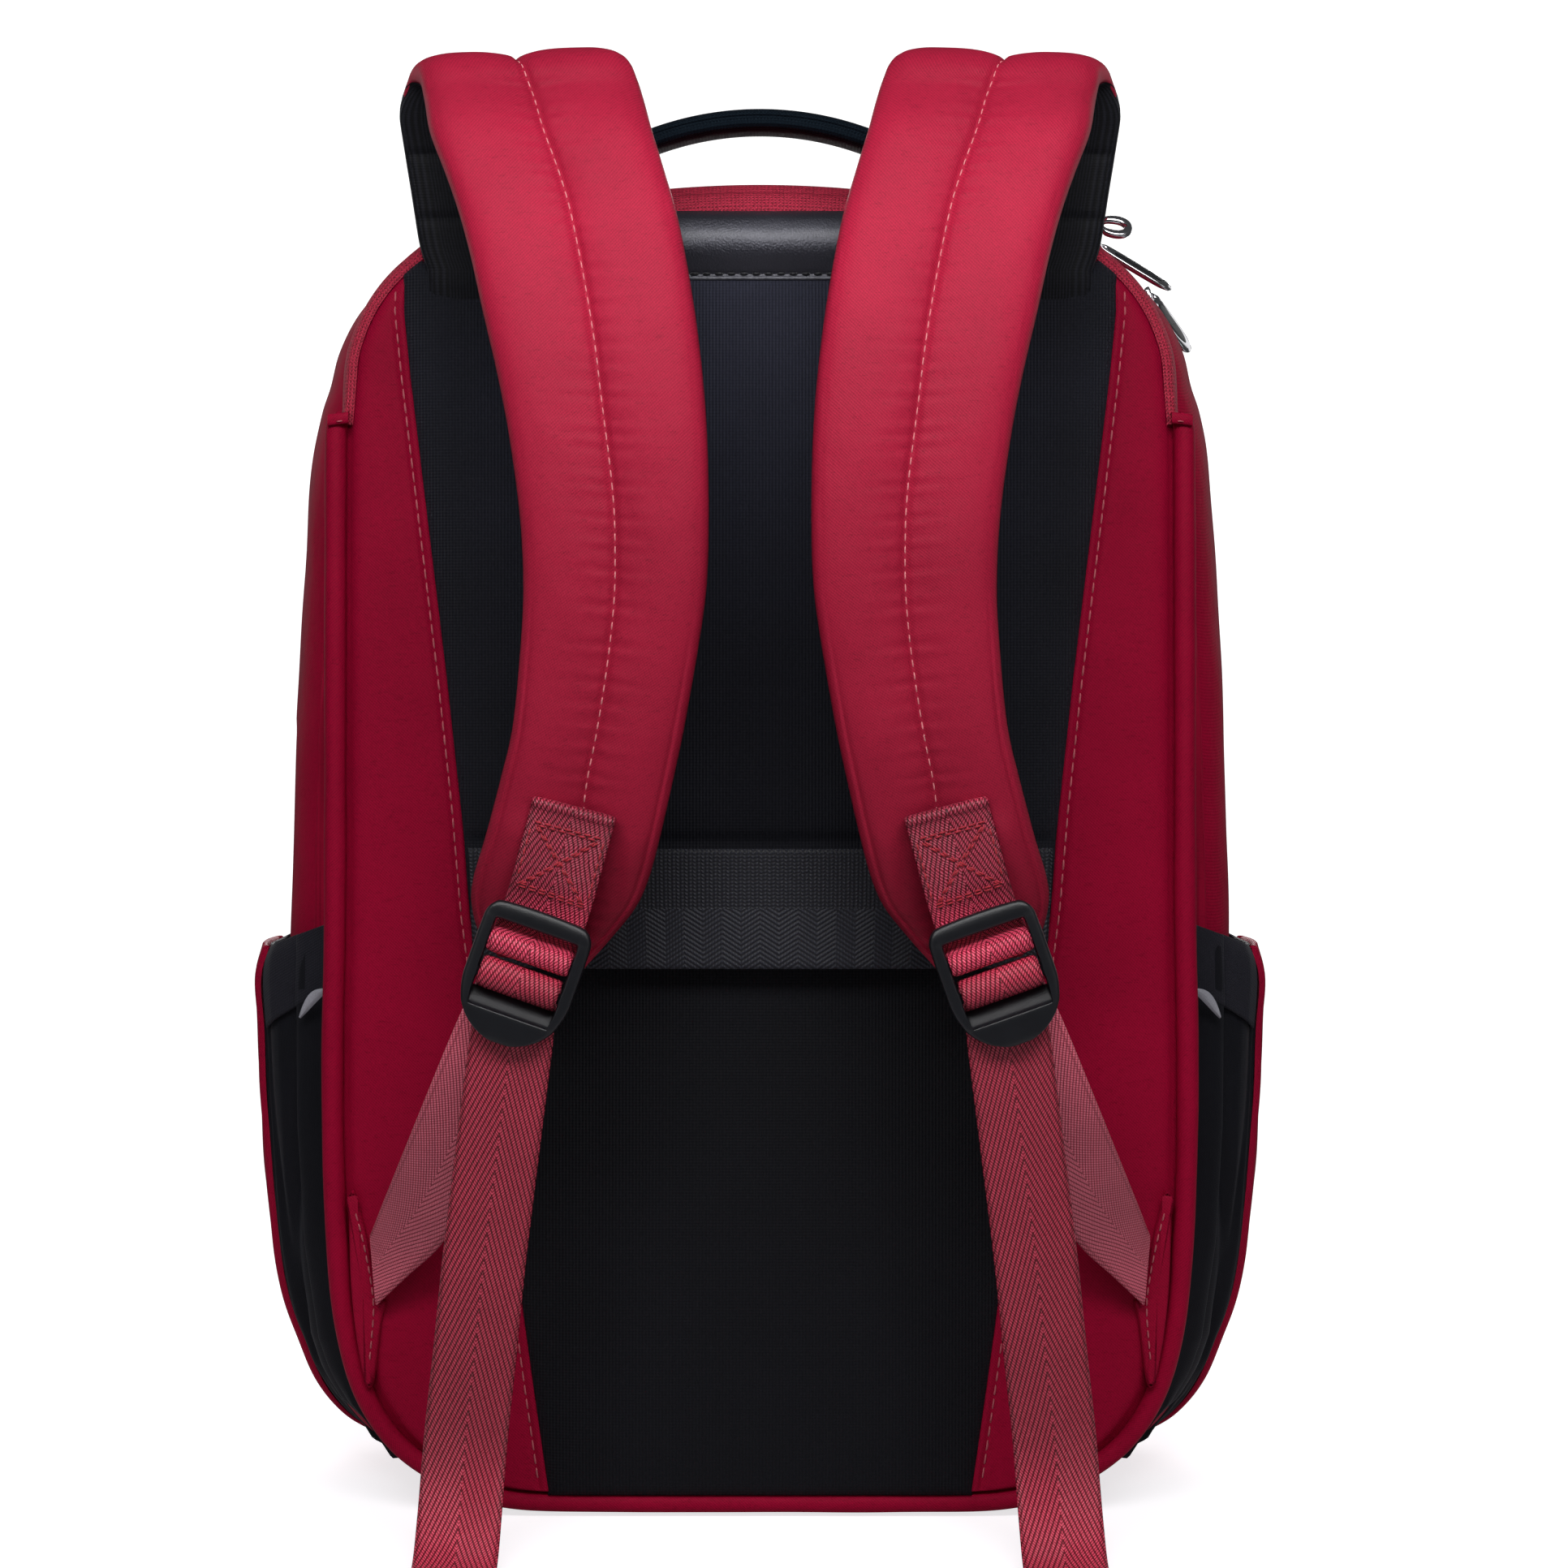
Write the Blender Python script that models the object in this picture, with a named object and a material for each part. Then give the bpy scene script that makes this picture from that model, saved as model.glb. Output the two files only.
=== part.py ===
# Travel backpack standing upright. The harness side faces -Y, the front compartment faces +Y.
# Lengths below are in millimetres and are turned into metres where a mesh is made.
# Y = 0 while modelling is the outer face of the back panel; Y_SHIFT centres the finished piece.
import math

import bpy
import numpy as np

MM = 0.001
Y_SHIFT = -44.39
GAP = 0.3

# Body outlines, seen from the harness side: a crowned top, a round shoulder, then the side.
REAR_SHOULDER = (78.8, 356.5, 55.0)
MAIN_SHOULDER = (88.0, 355.0, 57.0)
SHOULDER_TOP_ANGLE = 74.0
REAR_SIDE = [
    (134.3, 335), (134.5, 270), (134.6, 190), (135.3, 150), (135.0, 112), (133.2, 78),
    (130.6, 57), (125.5, 39), (117, 25), (106, 15.5), (91, 8), (74, 4.4), (40, 3.8), (0, 3.8),
]
MAIN_SIDE = [
    (147.6, 353), (150.8, 335), (153.7, 297), (156.0, 250), (157.0, 215), (158.0, 170), (157.3, 120),
    (155.0, 82), (150.5, 52), (143.0, 31), (131, 15), (116, 6.2), (98, 3.2), (50, 2.7), (0, 2.7),
]

# How far each station of the body lies outside (+) or inside (-) its outline.
GUSSET_OFFSETS = [(4.4, -3.6), (8.0, -0.9), (14.0, 0.0), (22.0, 0.0), (28.0, -3.0)]
MAIN_OFFSETS = [(31, -11), (36, -6), (42, -3), (50, -1.5), (58, -1), (68, 0), (78, 0.6)]
FRONT_OFFSETS = [
    (80.4, 0.7), (86, 1.6), (94, 1.6), (106, -0.6), (118, -6.5), (128, -15), (136, -27),
    (141.5, -43), (144, -62),
]
WALL = 2.4

LAPTOP_ZIP_Y = (1.2, 13.6)
MAIN_ZIP_Y = (50.0, 58.0)
FRONT_ZIP_Y = (86.0, 94.0)
LAPTOP_ZIP_END = 345.0
MAIN_ZIP_END = 250.0
FRONT_ZIP_END = 250.0

STRAP_OUTER = [
    (-103.4, -3.4, 392.8), (-105.9, -4, 401), (-108.2, -5, 416), (-110.4, -6.6, 431),
    (-111.2, -12.5, 443), (-109.7, -21, 451.3), (-107.2, -30, 449.2), (-106.2, -33.8, 440.8),
    (-101.3, -40.3, 429.2), (-94.6, -44.6, 416.7), (-90.2, -47.6, 404.3), (-86.4, -50.3, 390.9),
    (-82.4, -53.1, 373.6), (-77.8, -55.4, 354.2), (-74.1, -56.8, 335.1), (-71, -57.4, 312),
    (-70, -56.8, 292), (-70.8, -55.5, 275), (-73.4, -53, 250), (-77.2, -50.5, 234),
    (-82.2, -47, 216), (-86, -44.2, 204), (-86.8, -42.5, 196), (-84.4, -41, 186.5),
    (-79, -40, 180),
]
STRAP_INNER = [
    (-36.4, -3.4, 392.8), (-38.8, -4, 401), (-41, -5, 416), (-43.3, -6.6, 431),
    (-44, -12.5, 443.5), (-41.8, -21, 452.3), (-38.8, -30, 450), (-36.7, -33.8, 440.8),
    (-32.6, -40.3, 429.2), (-28.9, -44.6, 416.7), (-25.4, -47.6, 404.3), (-22.6, -50.3, 390.9),
    (-19.7, -53.1, 373.6), (-17.3, -55.4, 354.2), (-15.9, -56.8, 335.1), (-15.4, -57.4, 312),
    (-16, -56.8, 292), (-18.2, -55.5, 275), (-22.6, -53, 250), (-26, -50.5, 234),
    (-30.2, -47, 216), (-33.5, -44.2, 204), (-37.5, -42.5, 195), (-45, -40.6, 185.5),
    (-53.5, -39.4, 176),
]

BUCKLE_CENTRE = (-70.0, -60.0, 176.8)
BUCKLE_LEAN = 19.5
TOP_BAR_V = 6.5
LOW_BAR_V = -3.6

HANDLE_AXIS = (29.5, 421.6)
HANDLE_RADIUS = 97.0
HANDLE_TOP = 446.4


def clear_scene():
    for old in list(bpy.data.objects):
        bpy.data.objects.remove(old, do_unlink=True)


def make_material(name, colour, metallic=0.0, roughness=0.7):
    made = bpy.data.materials.new(name)
    made.use_nodes = True
    shader = made.node_tree.nodes["Principled BSDF"]
    shader.inputs["Base Color"].default_value = (*colour, 1.0)
    shader.inputs["Metallic"].default_value = metallic
    shader.inputs["Roughness"].default_value = roughness
    made.diffuse_color = (*colour, 1.0)
    return made


def signed_volume(points, faces):
    total = 0.0
    for face in faces:
        a = points[face[0]]
        for i in range(1, len(face) - 1):
            total += float(np.dot(a, np.cross(points[face[i]], points[face[i + 1]])))
    return total / 6.0


def add_solid(name, points, faces, material, pivot=(0.0, 0.0, 0.0), smooth=True):
    """Makes one node from points in millimetres, its faces turned outwards and its origin at the pivot."""
    points = np.array(points, float)
    used = sorted({index for face in faces for index in face})
    renumber = {index: new for new, index in enumerate(used)}
    points = points[used]
    faces = [[renumber[index] for index in face] for face in faces]
    if signed_volume(points, faces) < 0:
        faces = [face[::-1] for face in faces]
    shift = np.array((0.0, Y_SHIFT, 0.0))
    centre = np.array(pivot, float) + shift
    local = (points + shift - centre) * MM
    mesh = bpy.data.meshes.new(name)
    mesh.from_pydata([tuple(p) for p in local], [], [tuple(f) for f in faces])
    mesh.polygons.foreach_set("use_smooth", [smooth] * len(mesh.polygons))
    mesh.materials.append(material)
    mesh.update()
    made = bpy.data.objects.new(name, mesh)
    made.location = tuple(centre * MM)
    bpy.context.scene.collection.objects.link(made)
    return made


def mirrored(points):
    return [(-p[0], p[1], p[2]) for p in points]


def unit(v):
    v = np.array(v, float)
    return v / max(np.linalg.norm(v), 1e-9)


def smooth_path(points, count):
    """A Catmull-Rom curve through the points, resampled at even distances."""
    pts = np.array(points, float)
    ends = np.vstack([2 * pts[0] - pts[1], pts, 2 * pts[-1] - pts[-2]])
    dense = []
    for i in range(1, len(ends) - 2):
        p0, p1, p2, p3 = ends[i - 1], ends[i], ends[i + 1], ends[i + 2]
        for k in range(12):
            t = k / 12
            dense.append(0.5 * (2 * p1 + (p2 - p0) * t + (2 * p0 - 5 * p1 + 4 * p2 - p3) * t * t
                                + (3 * p1 - p0 - 3 * p2 + p3) * t ** 3))
    dense.append(ends[-2])
    return resample(dense, count)


def resample(points, count):
    pts = np.array(points, float)
    steps = np.linalg.norm(np.diff(pts, axis=0), axis=1)
    run = np.concatenate([[0], np.cumsum(steps)])
    at = np.linspace(0, run[-1], count)
    return np.stack([np.interp(at, run, pts[:, i]) for i in range(pts.shape[1])], axis=1)


def at_height(pairs, where):
    xs, ys = zip(*pairs)
    return float(np.interp(where, xs, ys))


def half_outline(shoulder, side):
    """Right half of an outline, from the top centre down to the bottom centre."""
    cx, cz, r = shoulder
    a = math.radians(SHOULDER_TOP_ANGLE)
    jx, jz = cx + r * math.cos(a), cz + r * math.sin(a)
    big = jx / math.cos(a)
    base = jz - big * math.sin(a)
    points = []
    for k in range(4):
        t = math.radians(90 - (90 - SHOULDER_TOP_ANGLE) * k / 4)
        points.append((big * math.cos(t), base + big * math.sin(t)))
    for k in range(7):
        t = math.radians(SHOULDER_TOP_ANGLE * (1 - k / 6) + 8 * (k / 6))
        points.append((cx + r * math.cos(t), cz + r * math.sin(t)))
    return points + [tuple(map(float, p)) for p in side]


def full_outline(half):
    return np.array(half + [(-x, z) for x, z in half[-2:0:-1]], float)


def normals_2d(ring):
    ahead, behind = np.roll(ring, -1, axis=0), np.roll(ring, 1, axis=0)
    along = ahead - behind
    out = np.stack([-along[:, 1], along[:, 0]], axis=1)
    out /= np.linalg.norm(out, axis=1)[:, None]
    return -out if np.sum(out * (ring - ring.mean(axis=0))) < 0 else out


def offset_ring(ring, amount):
    """The outline moved out by an amount, which may differ from point to point."""
    return ring + normals_2d(ring) * np.reshape(amount, (-1, 1))


def ring_at(ring, y, amount=0.0):
    """The outline at one depth. What lies outside it never reaches below its flat bottom."""
    amount = np.array(np.broadcast_to(amount, len(ring)), float)
    low = ring[:, 1] < 20.0
    amount[low] = np.where(amount[low] > 0, amount[low] * np.clip((ring[low, 1] - 3.5) / 16.5, 0, 1), amount[low])
    moved = offset_ring(ring, amount)
    return np.stack([moved[:, 0], np.full(len(moved), float(y)), moved[:, 1]], axis=1)


def loft(rings):
    """A solid through closed rings of equal length, with flat ends."""
    count = len(rings[0])
    points = np.vstack(rings)
    faces = []
    for k in range(len(rings) - 1):
        a, b = k * count, (k + 1) * count
        for i in range(count):
            j = (i + 1) % count
            faces.append([a + i, a + j, b + j, b + i])
    faces.append(list(range(count))[::-1])
    faces.append(list(range((len(rings) - 1) * count, len(rings) * count)))
    return points, faces


def grid_normals(grid, wrap):
    du = np.roll(grid, -1, 0) - np.roll(grid, 1, 0) if wrap else np.gradient(grid, axis=0)
    dv = np.gradient(grid, axis=1)
    n = np.cross(du, dv)
    return n / np.maximum(np.linalg.norm(n, axis=2)[:, :, None], 1e-9)


def thick_grid(outer, inner, filled, wrap, cap=False):
    """A closed sheet between two grids of points, with cells left out where filled says no."""
    nu, nv = outer.shape[:2]
    cells_u = nu if wrap else nu - 1
    points = np.vstack([outer.reshape(-1, 3), inner.reshape(-1, 3)])
    half = nu * nv

    def at(i, j, side):
        return side * half + (i % nu) * nv + j

    def solid(i, j):
        if wrap:
            i %= nu
        return 0 <= i < cells_u and 0 <= j < nv - 1 and filled(i, j)

    faces = []
    for i in range(cells_u):
        for j in range(nv - 1):
            if not solid(i, j):
                continue
            a, b, c, d = (i, j), (i + 1, j), (i + 1, j + 1), (i, j + 1)
            faces.append([at(*a, 0), at(*b, 0), at(*c, 0), at(*d, 0)])
            faces.append([at(*d, 1), at(*c, 1), at(*b, 1), at(*a, 1)])
            for (p, q), near in (((a, b), (i, j - 1)), ((b, c), (i + 1, j)),
                                 ((c, d), (i, j + 1)), ((d, a), (i - 1, j))):
                if not solid(*near) and not (cap and near[1] == nv - 1):
                    faces.append([at(*q, 0), at(*p, 0), at(*p, 1), at(*q, 1)])
    if cap:
        faces.append([at(i, nv - 1, 0) for i in range(nu)])
        faces.append([at(i, nv - 1, 1) for i in range(nu)][::-1])
    return points, faces


def plate(ring, y0, y1, amount=0.0, edge=0.9):
    """A flat panel with softened edges."""
    return loft([ring_at(ring, y0, amount - edge), ring_at(ring, y0 + edge, amount),
                 ring_at(ring, y1 - edge, amount), ring_at(ring, y1, amount - edge)])


def ribbon(left, right, across, top, bottom, facing):
    """A strap between two edge curves. top and bottom give the two faces, as heights over the mid surface."""
    left, right = np.array(left, float), np.array(right, float)
    along = np.gradient((left + right) / 2, axis=0)
    rings = []
    for k in range(len(left)):
        wide = right[k] - left[k]
        normal = unit(np.cross(along[k], wide)) * facing
        s = k / (len(left) - 1)
        front = [left[k] + wide * a + normal * top(a, s) for a in across]
        back = [left[k] + wide * a + normal * bottom(a, s) for a in across[::-1]]
        rings.append(np.array(front + back))
    return loft(rings)


def tube(path, radius, sides, flat=(0.0, 1.0, 0.0)):
    path = np.array(path, float)
    along = np.gradient(path, axis=0)
    rings = []
    for k in range(len(path)):
        t = unit(along[k])
        a = unit(np.cross(t, flat))
        b = np.cross(a, t)
        rings.append(np.array([path[k] + radius * (a * math.cos(w) + b * math.sin(w))
                               for w in (2 * math.pi * i / sides for i in range(sides))]))
    return loft(rings)


def prism(corners, direction, depth, start=0.0):
    """A flat polygon of 3D corners pushed along a direction."""
    d = unit(direction)
    corners = np.array(corners, float)
    return loft([corners + d * start, corners + d * (start + depth)])


clear_scene()
RED = make_material("red_twill", (0.27, 0.012, 0.032), roughness=0.62)
TAPE = make_material("red_zip_tape", (0.33, 0.03, 0.06), roughness=0.7)
WEBBING = make_material("red_webbing", (0.30, 0.025, 0.055), roughness=0.6)
MESH = make_material("black_mesh", (0.012, 0.012, 0.018), roughness=0.85)
BLACK = make_material("black_fabric", (0.010, 0.010, 0.014), roughness=0.75)
BAND = make_material("black_webbing", (0.018, 0.018, 0.024), roughness=0.65)
LEATHER = make_material("black_leather", (0.03, 0.028, 0.034), roughness=0.42)
PLASTIC = make_material("black_plastic", (0.014, 0.014, 0.017), roughness=0.45)
CHROME = make_material("chrome", (0.78, 0.78, 0.80), metallic=1.0, roughness=0.14)
LINING = make_material("grey_lining", (0.20, 0.20, 0.24), roughness=0.8)
STIFF = make_material("grey_board", (0.12, 0.12, 0.13), roughness=0.7)

REAR_HALF = half_outline(REAR_SHOULDER, REAR_SIDE)
MAIN_HALF = half_outline(MAIN_SHOULDER, MAIN_SIDE)
REAR = full_outline(REAR_HALF)
MAIN = full_outline(MAIN_HALF)


def panel_inset(ring):
    """The seam of the back panel lies further in over the top, where the zip tape slopes back."""
    rise = np.clip((ring[:, 1] - 350.0) / 66.0, 0, 1)
    return -(4.6 + 5.4 * rise * rise * (3 - 2 * rise))


# --- back panel and what is sewn to it -------------------------------------------------------
add_solid("back_panel", *plate(REAR, 0.0, 3.4, panel_inset(REAR)), RED)
add_solid("frame_sheet", *plate(REAR, 3.8, 5.0, panel_inset(REAR) - 9.0, 0.3), STIFF)

PAD_SIDE = [(112.0, 391.0), (112.2, 380), (110.2, 360), (106.0, 325), (98.6, 264), (94.2, 223),
            (91.4, 190), (81.5, 115), (71.2, 40), (66.6, 9.5)]
pad_ring = np.array(PAD_SIDE + [(-x, z) for x, z in PAD_SIDE[::-1]], float)
add_solid("mesh_pad", *loft([ring_at(pad_ring, -0.3, 0), ring_at(pad_ring, -2.2, 0),
                             ring_at(pad_ring, -5.2, -3.5), ring_at(pad_ring, -6.2, -9)]), MESH)

patch = [(-34.5, 410.5), (-35.4, 405), (-35.4, 393), (-34.5, 391.4), (34.5, 391.4), (35.4, 393),
         (35.4, 405), (34.5, 410.5)]


def patch_ring(y, narrow, low):
    """The patch's outline drawn in towards its middle."""
    return np.array([(x * narrow, y, 401.0 + (z - 401.0) * low) for x, z in patch])


add_solid("leather_patch", *loft([patch_ring(-0.3, 1.0, 1.0), patch_ring(-3.0, 1.0, 1.0),
                                  patch_ring(-5.6, 0.95, 0.76), patch_ring(-6.6, 0.86, 0.4)]), LEATHER)


band_outer, band_inner = [], []
for k in range(13):
    t = -1 + 2 * k / 12
    bow = 6.6 * (1 - t ** 4)
    column_out = [(t * x, -6.9 - bow - 1.6, z) for x, z in ((91.6, 211.4), (90.8, 193), (89.6, 174.0))]
    column_in = [(t * x, -6.9 - bow, z) for x, z in ((91.6, 211.4), (90.8, 193), (89.6, 174.0))]
    band_outer.append(column_out)
    band_inner.append(column_in)
add_solid("trolley_band", *thick_grid(np.array(band_outer), np.array(band_inner),
                                      lambda i, j: True, False), BAND)

# --- laptop compartment ----------------------------------------------------------------------
def in_zip(ring, i, end_height):
    j = (i + 1) % len(ring)
    return min(ring[i][1], ring[j][1]) >= end_height - 0.5


def shell(ring, stations, zip_cell, end_height, wall=WALL, cap=False):
    outer = np.stack([ring_at(ring, y, d) for y, d in stations], axis=1)
    out = grid_normals(outer, True)
    middle = outer.reshape(-1, 3).mean(axis=0)
    if np.sum(out[:, 0] * (outer[:, 0] - middle)) < 0:
        out = -out
    inner = outer - out * wall
    inner[:, 0, 1] = outer[:, 0, 1]
    return thick_grid(outer, inner,
                      lambda i, j: not (j in zip_cell and in_zip(ring, i, end_height)), True, cap)


add_solid("laptop_gusset", *shell(REAR, GUSSET_OFFSETS, (0, 1), LAPTOP_ZIP_END - 11, 2.0), RED)


def zip_path(half, end_height, count):
    """The part of an outline that a zip follows, from its left end over the top to its right end."""
    kept = [p for p in half if p[1] > end_height]
    below = next(p for p in half if p[1] <= end_height)
    last = kept[-1]
    t = (last[1] - end_height) / (last[1] - below[1])
    kept.append((last[0] + (below[0] - last[0]) * t, end_height))
    whole = [(-x, z) for x, z in kept[::-1]] + kept[1:]
    return resample(whole, count)


def zip_strip(half, end_height, count, ya, da, yb, db, lift0, lift1):
    path = zip_path(half, end_height, count)
    along = np.gradient(path, axis=0)
    out = np.stack([-along[:, 1], along[:, 0]], axis=1)
    out /= np.linalg.norm(out, axis=1)[:, None]
    rows = []
    for y, d in ((ya, da), (yb, db)):
        amount = d(path) if callable(d) else np.full(len(path), float(d))
        moved = path + out * amount[:, None]
        rows.append(np.stack([moved[:, 0], np.full(len(moved), y), moved[:, 1]], axis=1))
    return ribbon(rows[0], rows[1], [0.0, 1.0], lambda a, s: lift1, lambda a, s: lift0, 1.0)


def slope_low(path):
    return panel_inset(path) + 1.6


def slope_mid(path):
    return panel_inset(path) * 0.42


end = LAPTOP_ZIP_END
add_solid("laptop_zip_tape_rear", *zip_strip(REAR_HALF, end, 31, 0.9, slope_low, 6.0, slope_mid, -0.6, 0.6), TAPE)
add_solid("laptop_zip_tape_front", *zip_strip(REAR_HALF, end, 31, 6.9, lambda p: slope_mid(p) + 0.5,
                                              13.4, -0.7, -0.6, 0.6), TAPE)
add_solid("laptop_zip_coil", *zip_strip(REAR_HALF, end + 4, 31, 5.6, lambda p: slope_mid(p) - 2.4,
                                        8.6, lambda p: slope_mid(p) - 1.4, -0.5, 0.5), TAPE)

pipe_half = [p for p in REAR_HALF if p[1] < 336]
pipe_half = [(134.0, 344.5)] + pipe_half
pipe_full = pipe_half + [(-x, z) for x, z in pipe_half[-2::-1]]
pipe = smooth_path([(x, 1.4, z) for x, z in pipe_full], 59)
add_solid("rear_piping", *tube(pipe, 3.3, 7), RED)

for side, word in ((1, "right"), (-1, "left")):
    corners = [(side * x, y, z) for x, y, z in
               ((129.2, -2.6, 350.2), (138.0, -2.6, 349.2), (138.0, -2.6, 345.0), (129.2, -2.6, 345.0))]
    add_solid("laptop_zip_tab_" + word, *prism(corners, (0, 1, 0), 2.0), RED)

# --- main and front compartments -------------------------------------------------------------
add_solid("laptop_divider", *plate(MAIN, 28.4, 30.6, -12.0, 0.6), LINING)
add_solid("main_shell", *shell(MAIN, MAIN_OFFSETS, (3,), MAIN_ZIP_END), RED)
add_solid("organiser_wall", *plate(MAIN, 78.6, 80.0, -0.6, 0.3), LINING)
add_solid("front_shell", *shell(MAIN, FRONT_OFFSETS, (1,), FRONT_ZIP_END, cap=True), RED)

for word, (ya, yb), stop, offset in (("main", MAIN_ZIP_Y, MAIN_ZIP_END + 1, -1.3),
                                     ("front", FRONT_ZIP_Y, FRONT_ZIP_END + 1, 1.5)):
    mid = (ya + yb) / 2
    add_solid(word + "_zip_tape_rear",
              *zip_strip(MAIN_HALF, stop, 35, ya + GAP, offset - 0.9, mid - 0.25, offset - 0.9, -0.5, 0.5), TAPE)
    add_solid(word + "_zip_tape_front",
              *zip_strip(MAIN_HALF, stop, 35, mid + 0.25, offset - 0.9, yb - GAP, offset - 0.9, -0.5, 0.5), TAPE)
    add_solid(word + "_zip_coil",
              *zip_strip(MAIN_HALF, stop + 3, 35, mid - 1.6, offset - 2.4, mid + 1.6, offset - 2.4, -0.5, 0.5), TAPE)

slip = [(-92, 238), (-60, 243), (0, 245), (60, 243), (92, 238), (98, 200), (100, 130), (96, 86),
        (84, 66), (60, 58), (0, 56), (-60, 58), (-84, 66), (-96, 86), (-100, 130), (-98, 200)]
slip_ring = np.array(slip, float)


def front_face_y(x, z):
    """Depth of the front compartment's outer face at a point."""
    inside = min(min(np.linalg.norm(MAIN - np.array((x, z)), axis=1)), 80.0)
    pairs = sorted((-d, y) for y, d in FRONT_OFFSETS)
    return float(np.interp(inside, [p[0] for p in pairs], [p[1] for p in pairs]))


back_edge = ring_at(slip_ring, 0, 0)
for row in back_edge:
    row[1] = front_face_y(row[0], row[2]) + 3.2
rim = back_edge + np.array((0, 2.6, 0))
top_edge = ring_at(slip_ring, 151.4, -7)
add_solid("front_slip_pocket", *loft([back_edge, rim, top_edge, ring_at(slip_ring, 152.6, -24)]), RED)

# --- bottom and inner pieces -----------------------------------------------------------------
foot = [(-92, 16), (-96, 22), (-96, 98), (-90, 106), (90, 106), (96, 98), (96, 22), (92, 16)]
foot_low = np.array([(x * 0.985, y, 0.0) for x, y in foot])
foot_mid = np.array([(x, y, 0.8) for x, y in foot])
foot_top = np.array([(x, y, 2.1) for x, y in foot])
add_solid("base_panel", *loft([foot_low, foot_mid, foot_top]), BLACK)
board = np.array([(x * 0.92, 34.5 + (y - 16) * 0.42, 0.0) for x, y in foot])
add_solid("base_board", *loft([board + (0, 0, 14.4), board + (0, 0, 16.6)]), STIFF)

organiser = [(-104, 60), (-104, 212), (104, 212), (104, 60)]
organiser_ring = np.array(organiser, float)
add_solid("organiser_pocket", *loft([ring_at(organiser_ring, 80.4, 0), ring_at(organiser_ring, 82.4, -1)]), LINING)

sleeve = np.array([(-112, 30), (-112, 246), (112, 246), (112, 30)], float)
add_solid("laptop_sleeve", *loft([ring_at(sleeve, 23.4, 0), ring_at(sleeve, 25.0, -1)]), LINING)

# --- shoulder straps -------------------------------------------------------------------------
STATIONS = 30
outer_edge = smooth_path(STRAP_OUTER, STATIONS)
inner_edge = smooth_path(STRAP_INNER, STATIONS)


def pad_height(s):
    """Half thickness of the strap from its root, over the fold, to its tip."""
    return at_height([(0, 2.6), (0.05, 3.4), (0.16, 5.6), (0.24, 6.6), (0.34, 6.6), (0.8, 5.8),
                      (0.93, 4.6), (1.0, 2.4)], s)


def pad_top(a, s):
    lobes = {0.0: -0.12, 0.07: 0.52, 0.22: 0.95, 0.40: 0.92, 0.47: 0.66, 0.53: 0.66, 0.62: 0.92,
             0.80: 0.95, 0.93: 0.52, 1.0: -0.12}
    return pad_height(s) * lobes[a]


def pad_bottom(a, s):
    return pad_height(s) * (-0.18 if a in (0.0, 1.0) else -0.40)


def lining_top(a, s):
    return pad_height(s) * (-0.18 if a in (0.0, 1.0) else -0.40) - GAP - 0.05


def lining_bottom(a, s):
    return pad_height(s) * (-0.36 if a in (0.0, 1.0) else -0.92) - GAP


pad_across = [0.0, 0.07, 0.22, 0.40, 0.47, 0.53, 0.62, 0.80, 0.93, 1.0]
lining_across = [0.0, 0.08, 0.35, 0.65, 0.92, 1.0]


def buckle_point(side, u, v, n):
    """A point in the buckle's own directions. u runs towards the middle of the pack."""
    lean = math.radians(BUCKLE_LEAN)
    cx, cy, cz = BUCKLE_CENTRE
    x = cx + u * math.cos(lean) + v * math.sin(lean)
    z = cz - u * math.sin(lean) + v * math.cos(lean)
    return (x * -side, cy - n, z)


def webbing_along(side, path, half_width, thick):
    """Webbing that follows a path of (v, n) in the plane across the buckle, at full width."""
    left = [buckle_point(side, -half_width + du, v, n) for v, n, du in path]
    right = [buckle_point(side, half_width + du, v, n) for v, n, du in path]
    return ribbon(left, right, [0.0, 1.0], lambda a, s: thick / 2, lambda a, s: -thick / 2, 1.0)


BUCKLE_U = [-15.7, -12.9, -12.6, 12.6, 12.9, 15.7]
BUCKLE_V = [
    (17.6, 0.86, 1.0), (15.6, 0.97, 1.6), (13.2, 1.0, 1.6), (7.8, 1.0, 1.4), (5.2, 1.0, 1.4),
    (-2.1, 1.0, 1.7), (-5.1, 1.0, 1.7), (-13.0, 1.0, 2.4), (-16.0, 0.97, 2.4), (-19.6, 0.80, 2.2),
    (-22.4, 0.48, 1.4),
]
OPEN_ROWS = (2, 4, 6)


def buckle_solid(side):
    front, back = [], []
    for u in BUCKLE_U:
        rail = abs(u) > 12.7
        column_f, column_b = [], []
        for v, narrow, half in BUCKLE_V:
            depth = 2.4 if rail and 12.9 > v > -13.1 else half
            if abs(u) > 15:
                depth *= 0.6
            wide = u * narrow
            column_f.append(buckle_point(side, wide, v, depth))
            column_b.append(buckle_point(side, wide, v, -depth))
        front.append(column_f)
        back.append(column_b)
    return thick_grid(np.array(front), np.array(back),
                      lambda i, j: not (i == 2 and j in OPEN_ROWS), False)


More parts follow.
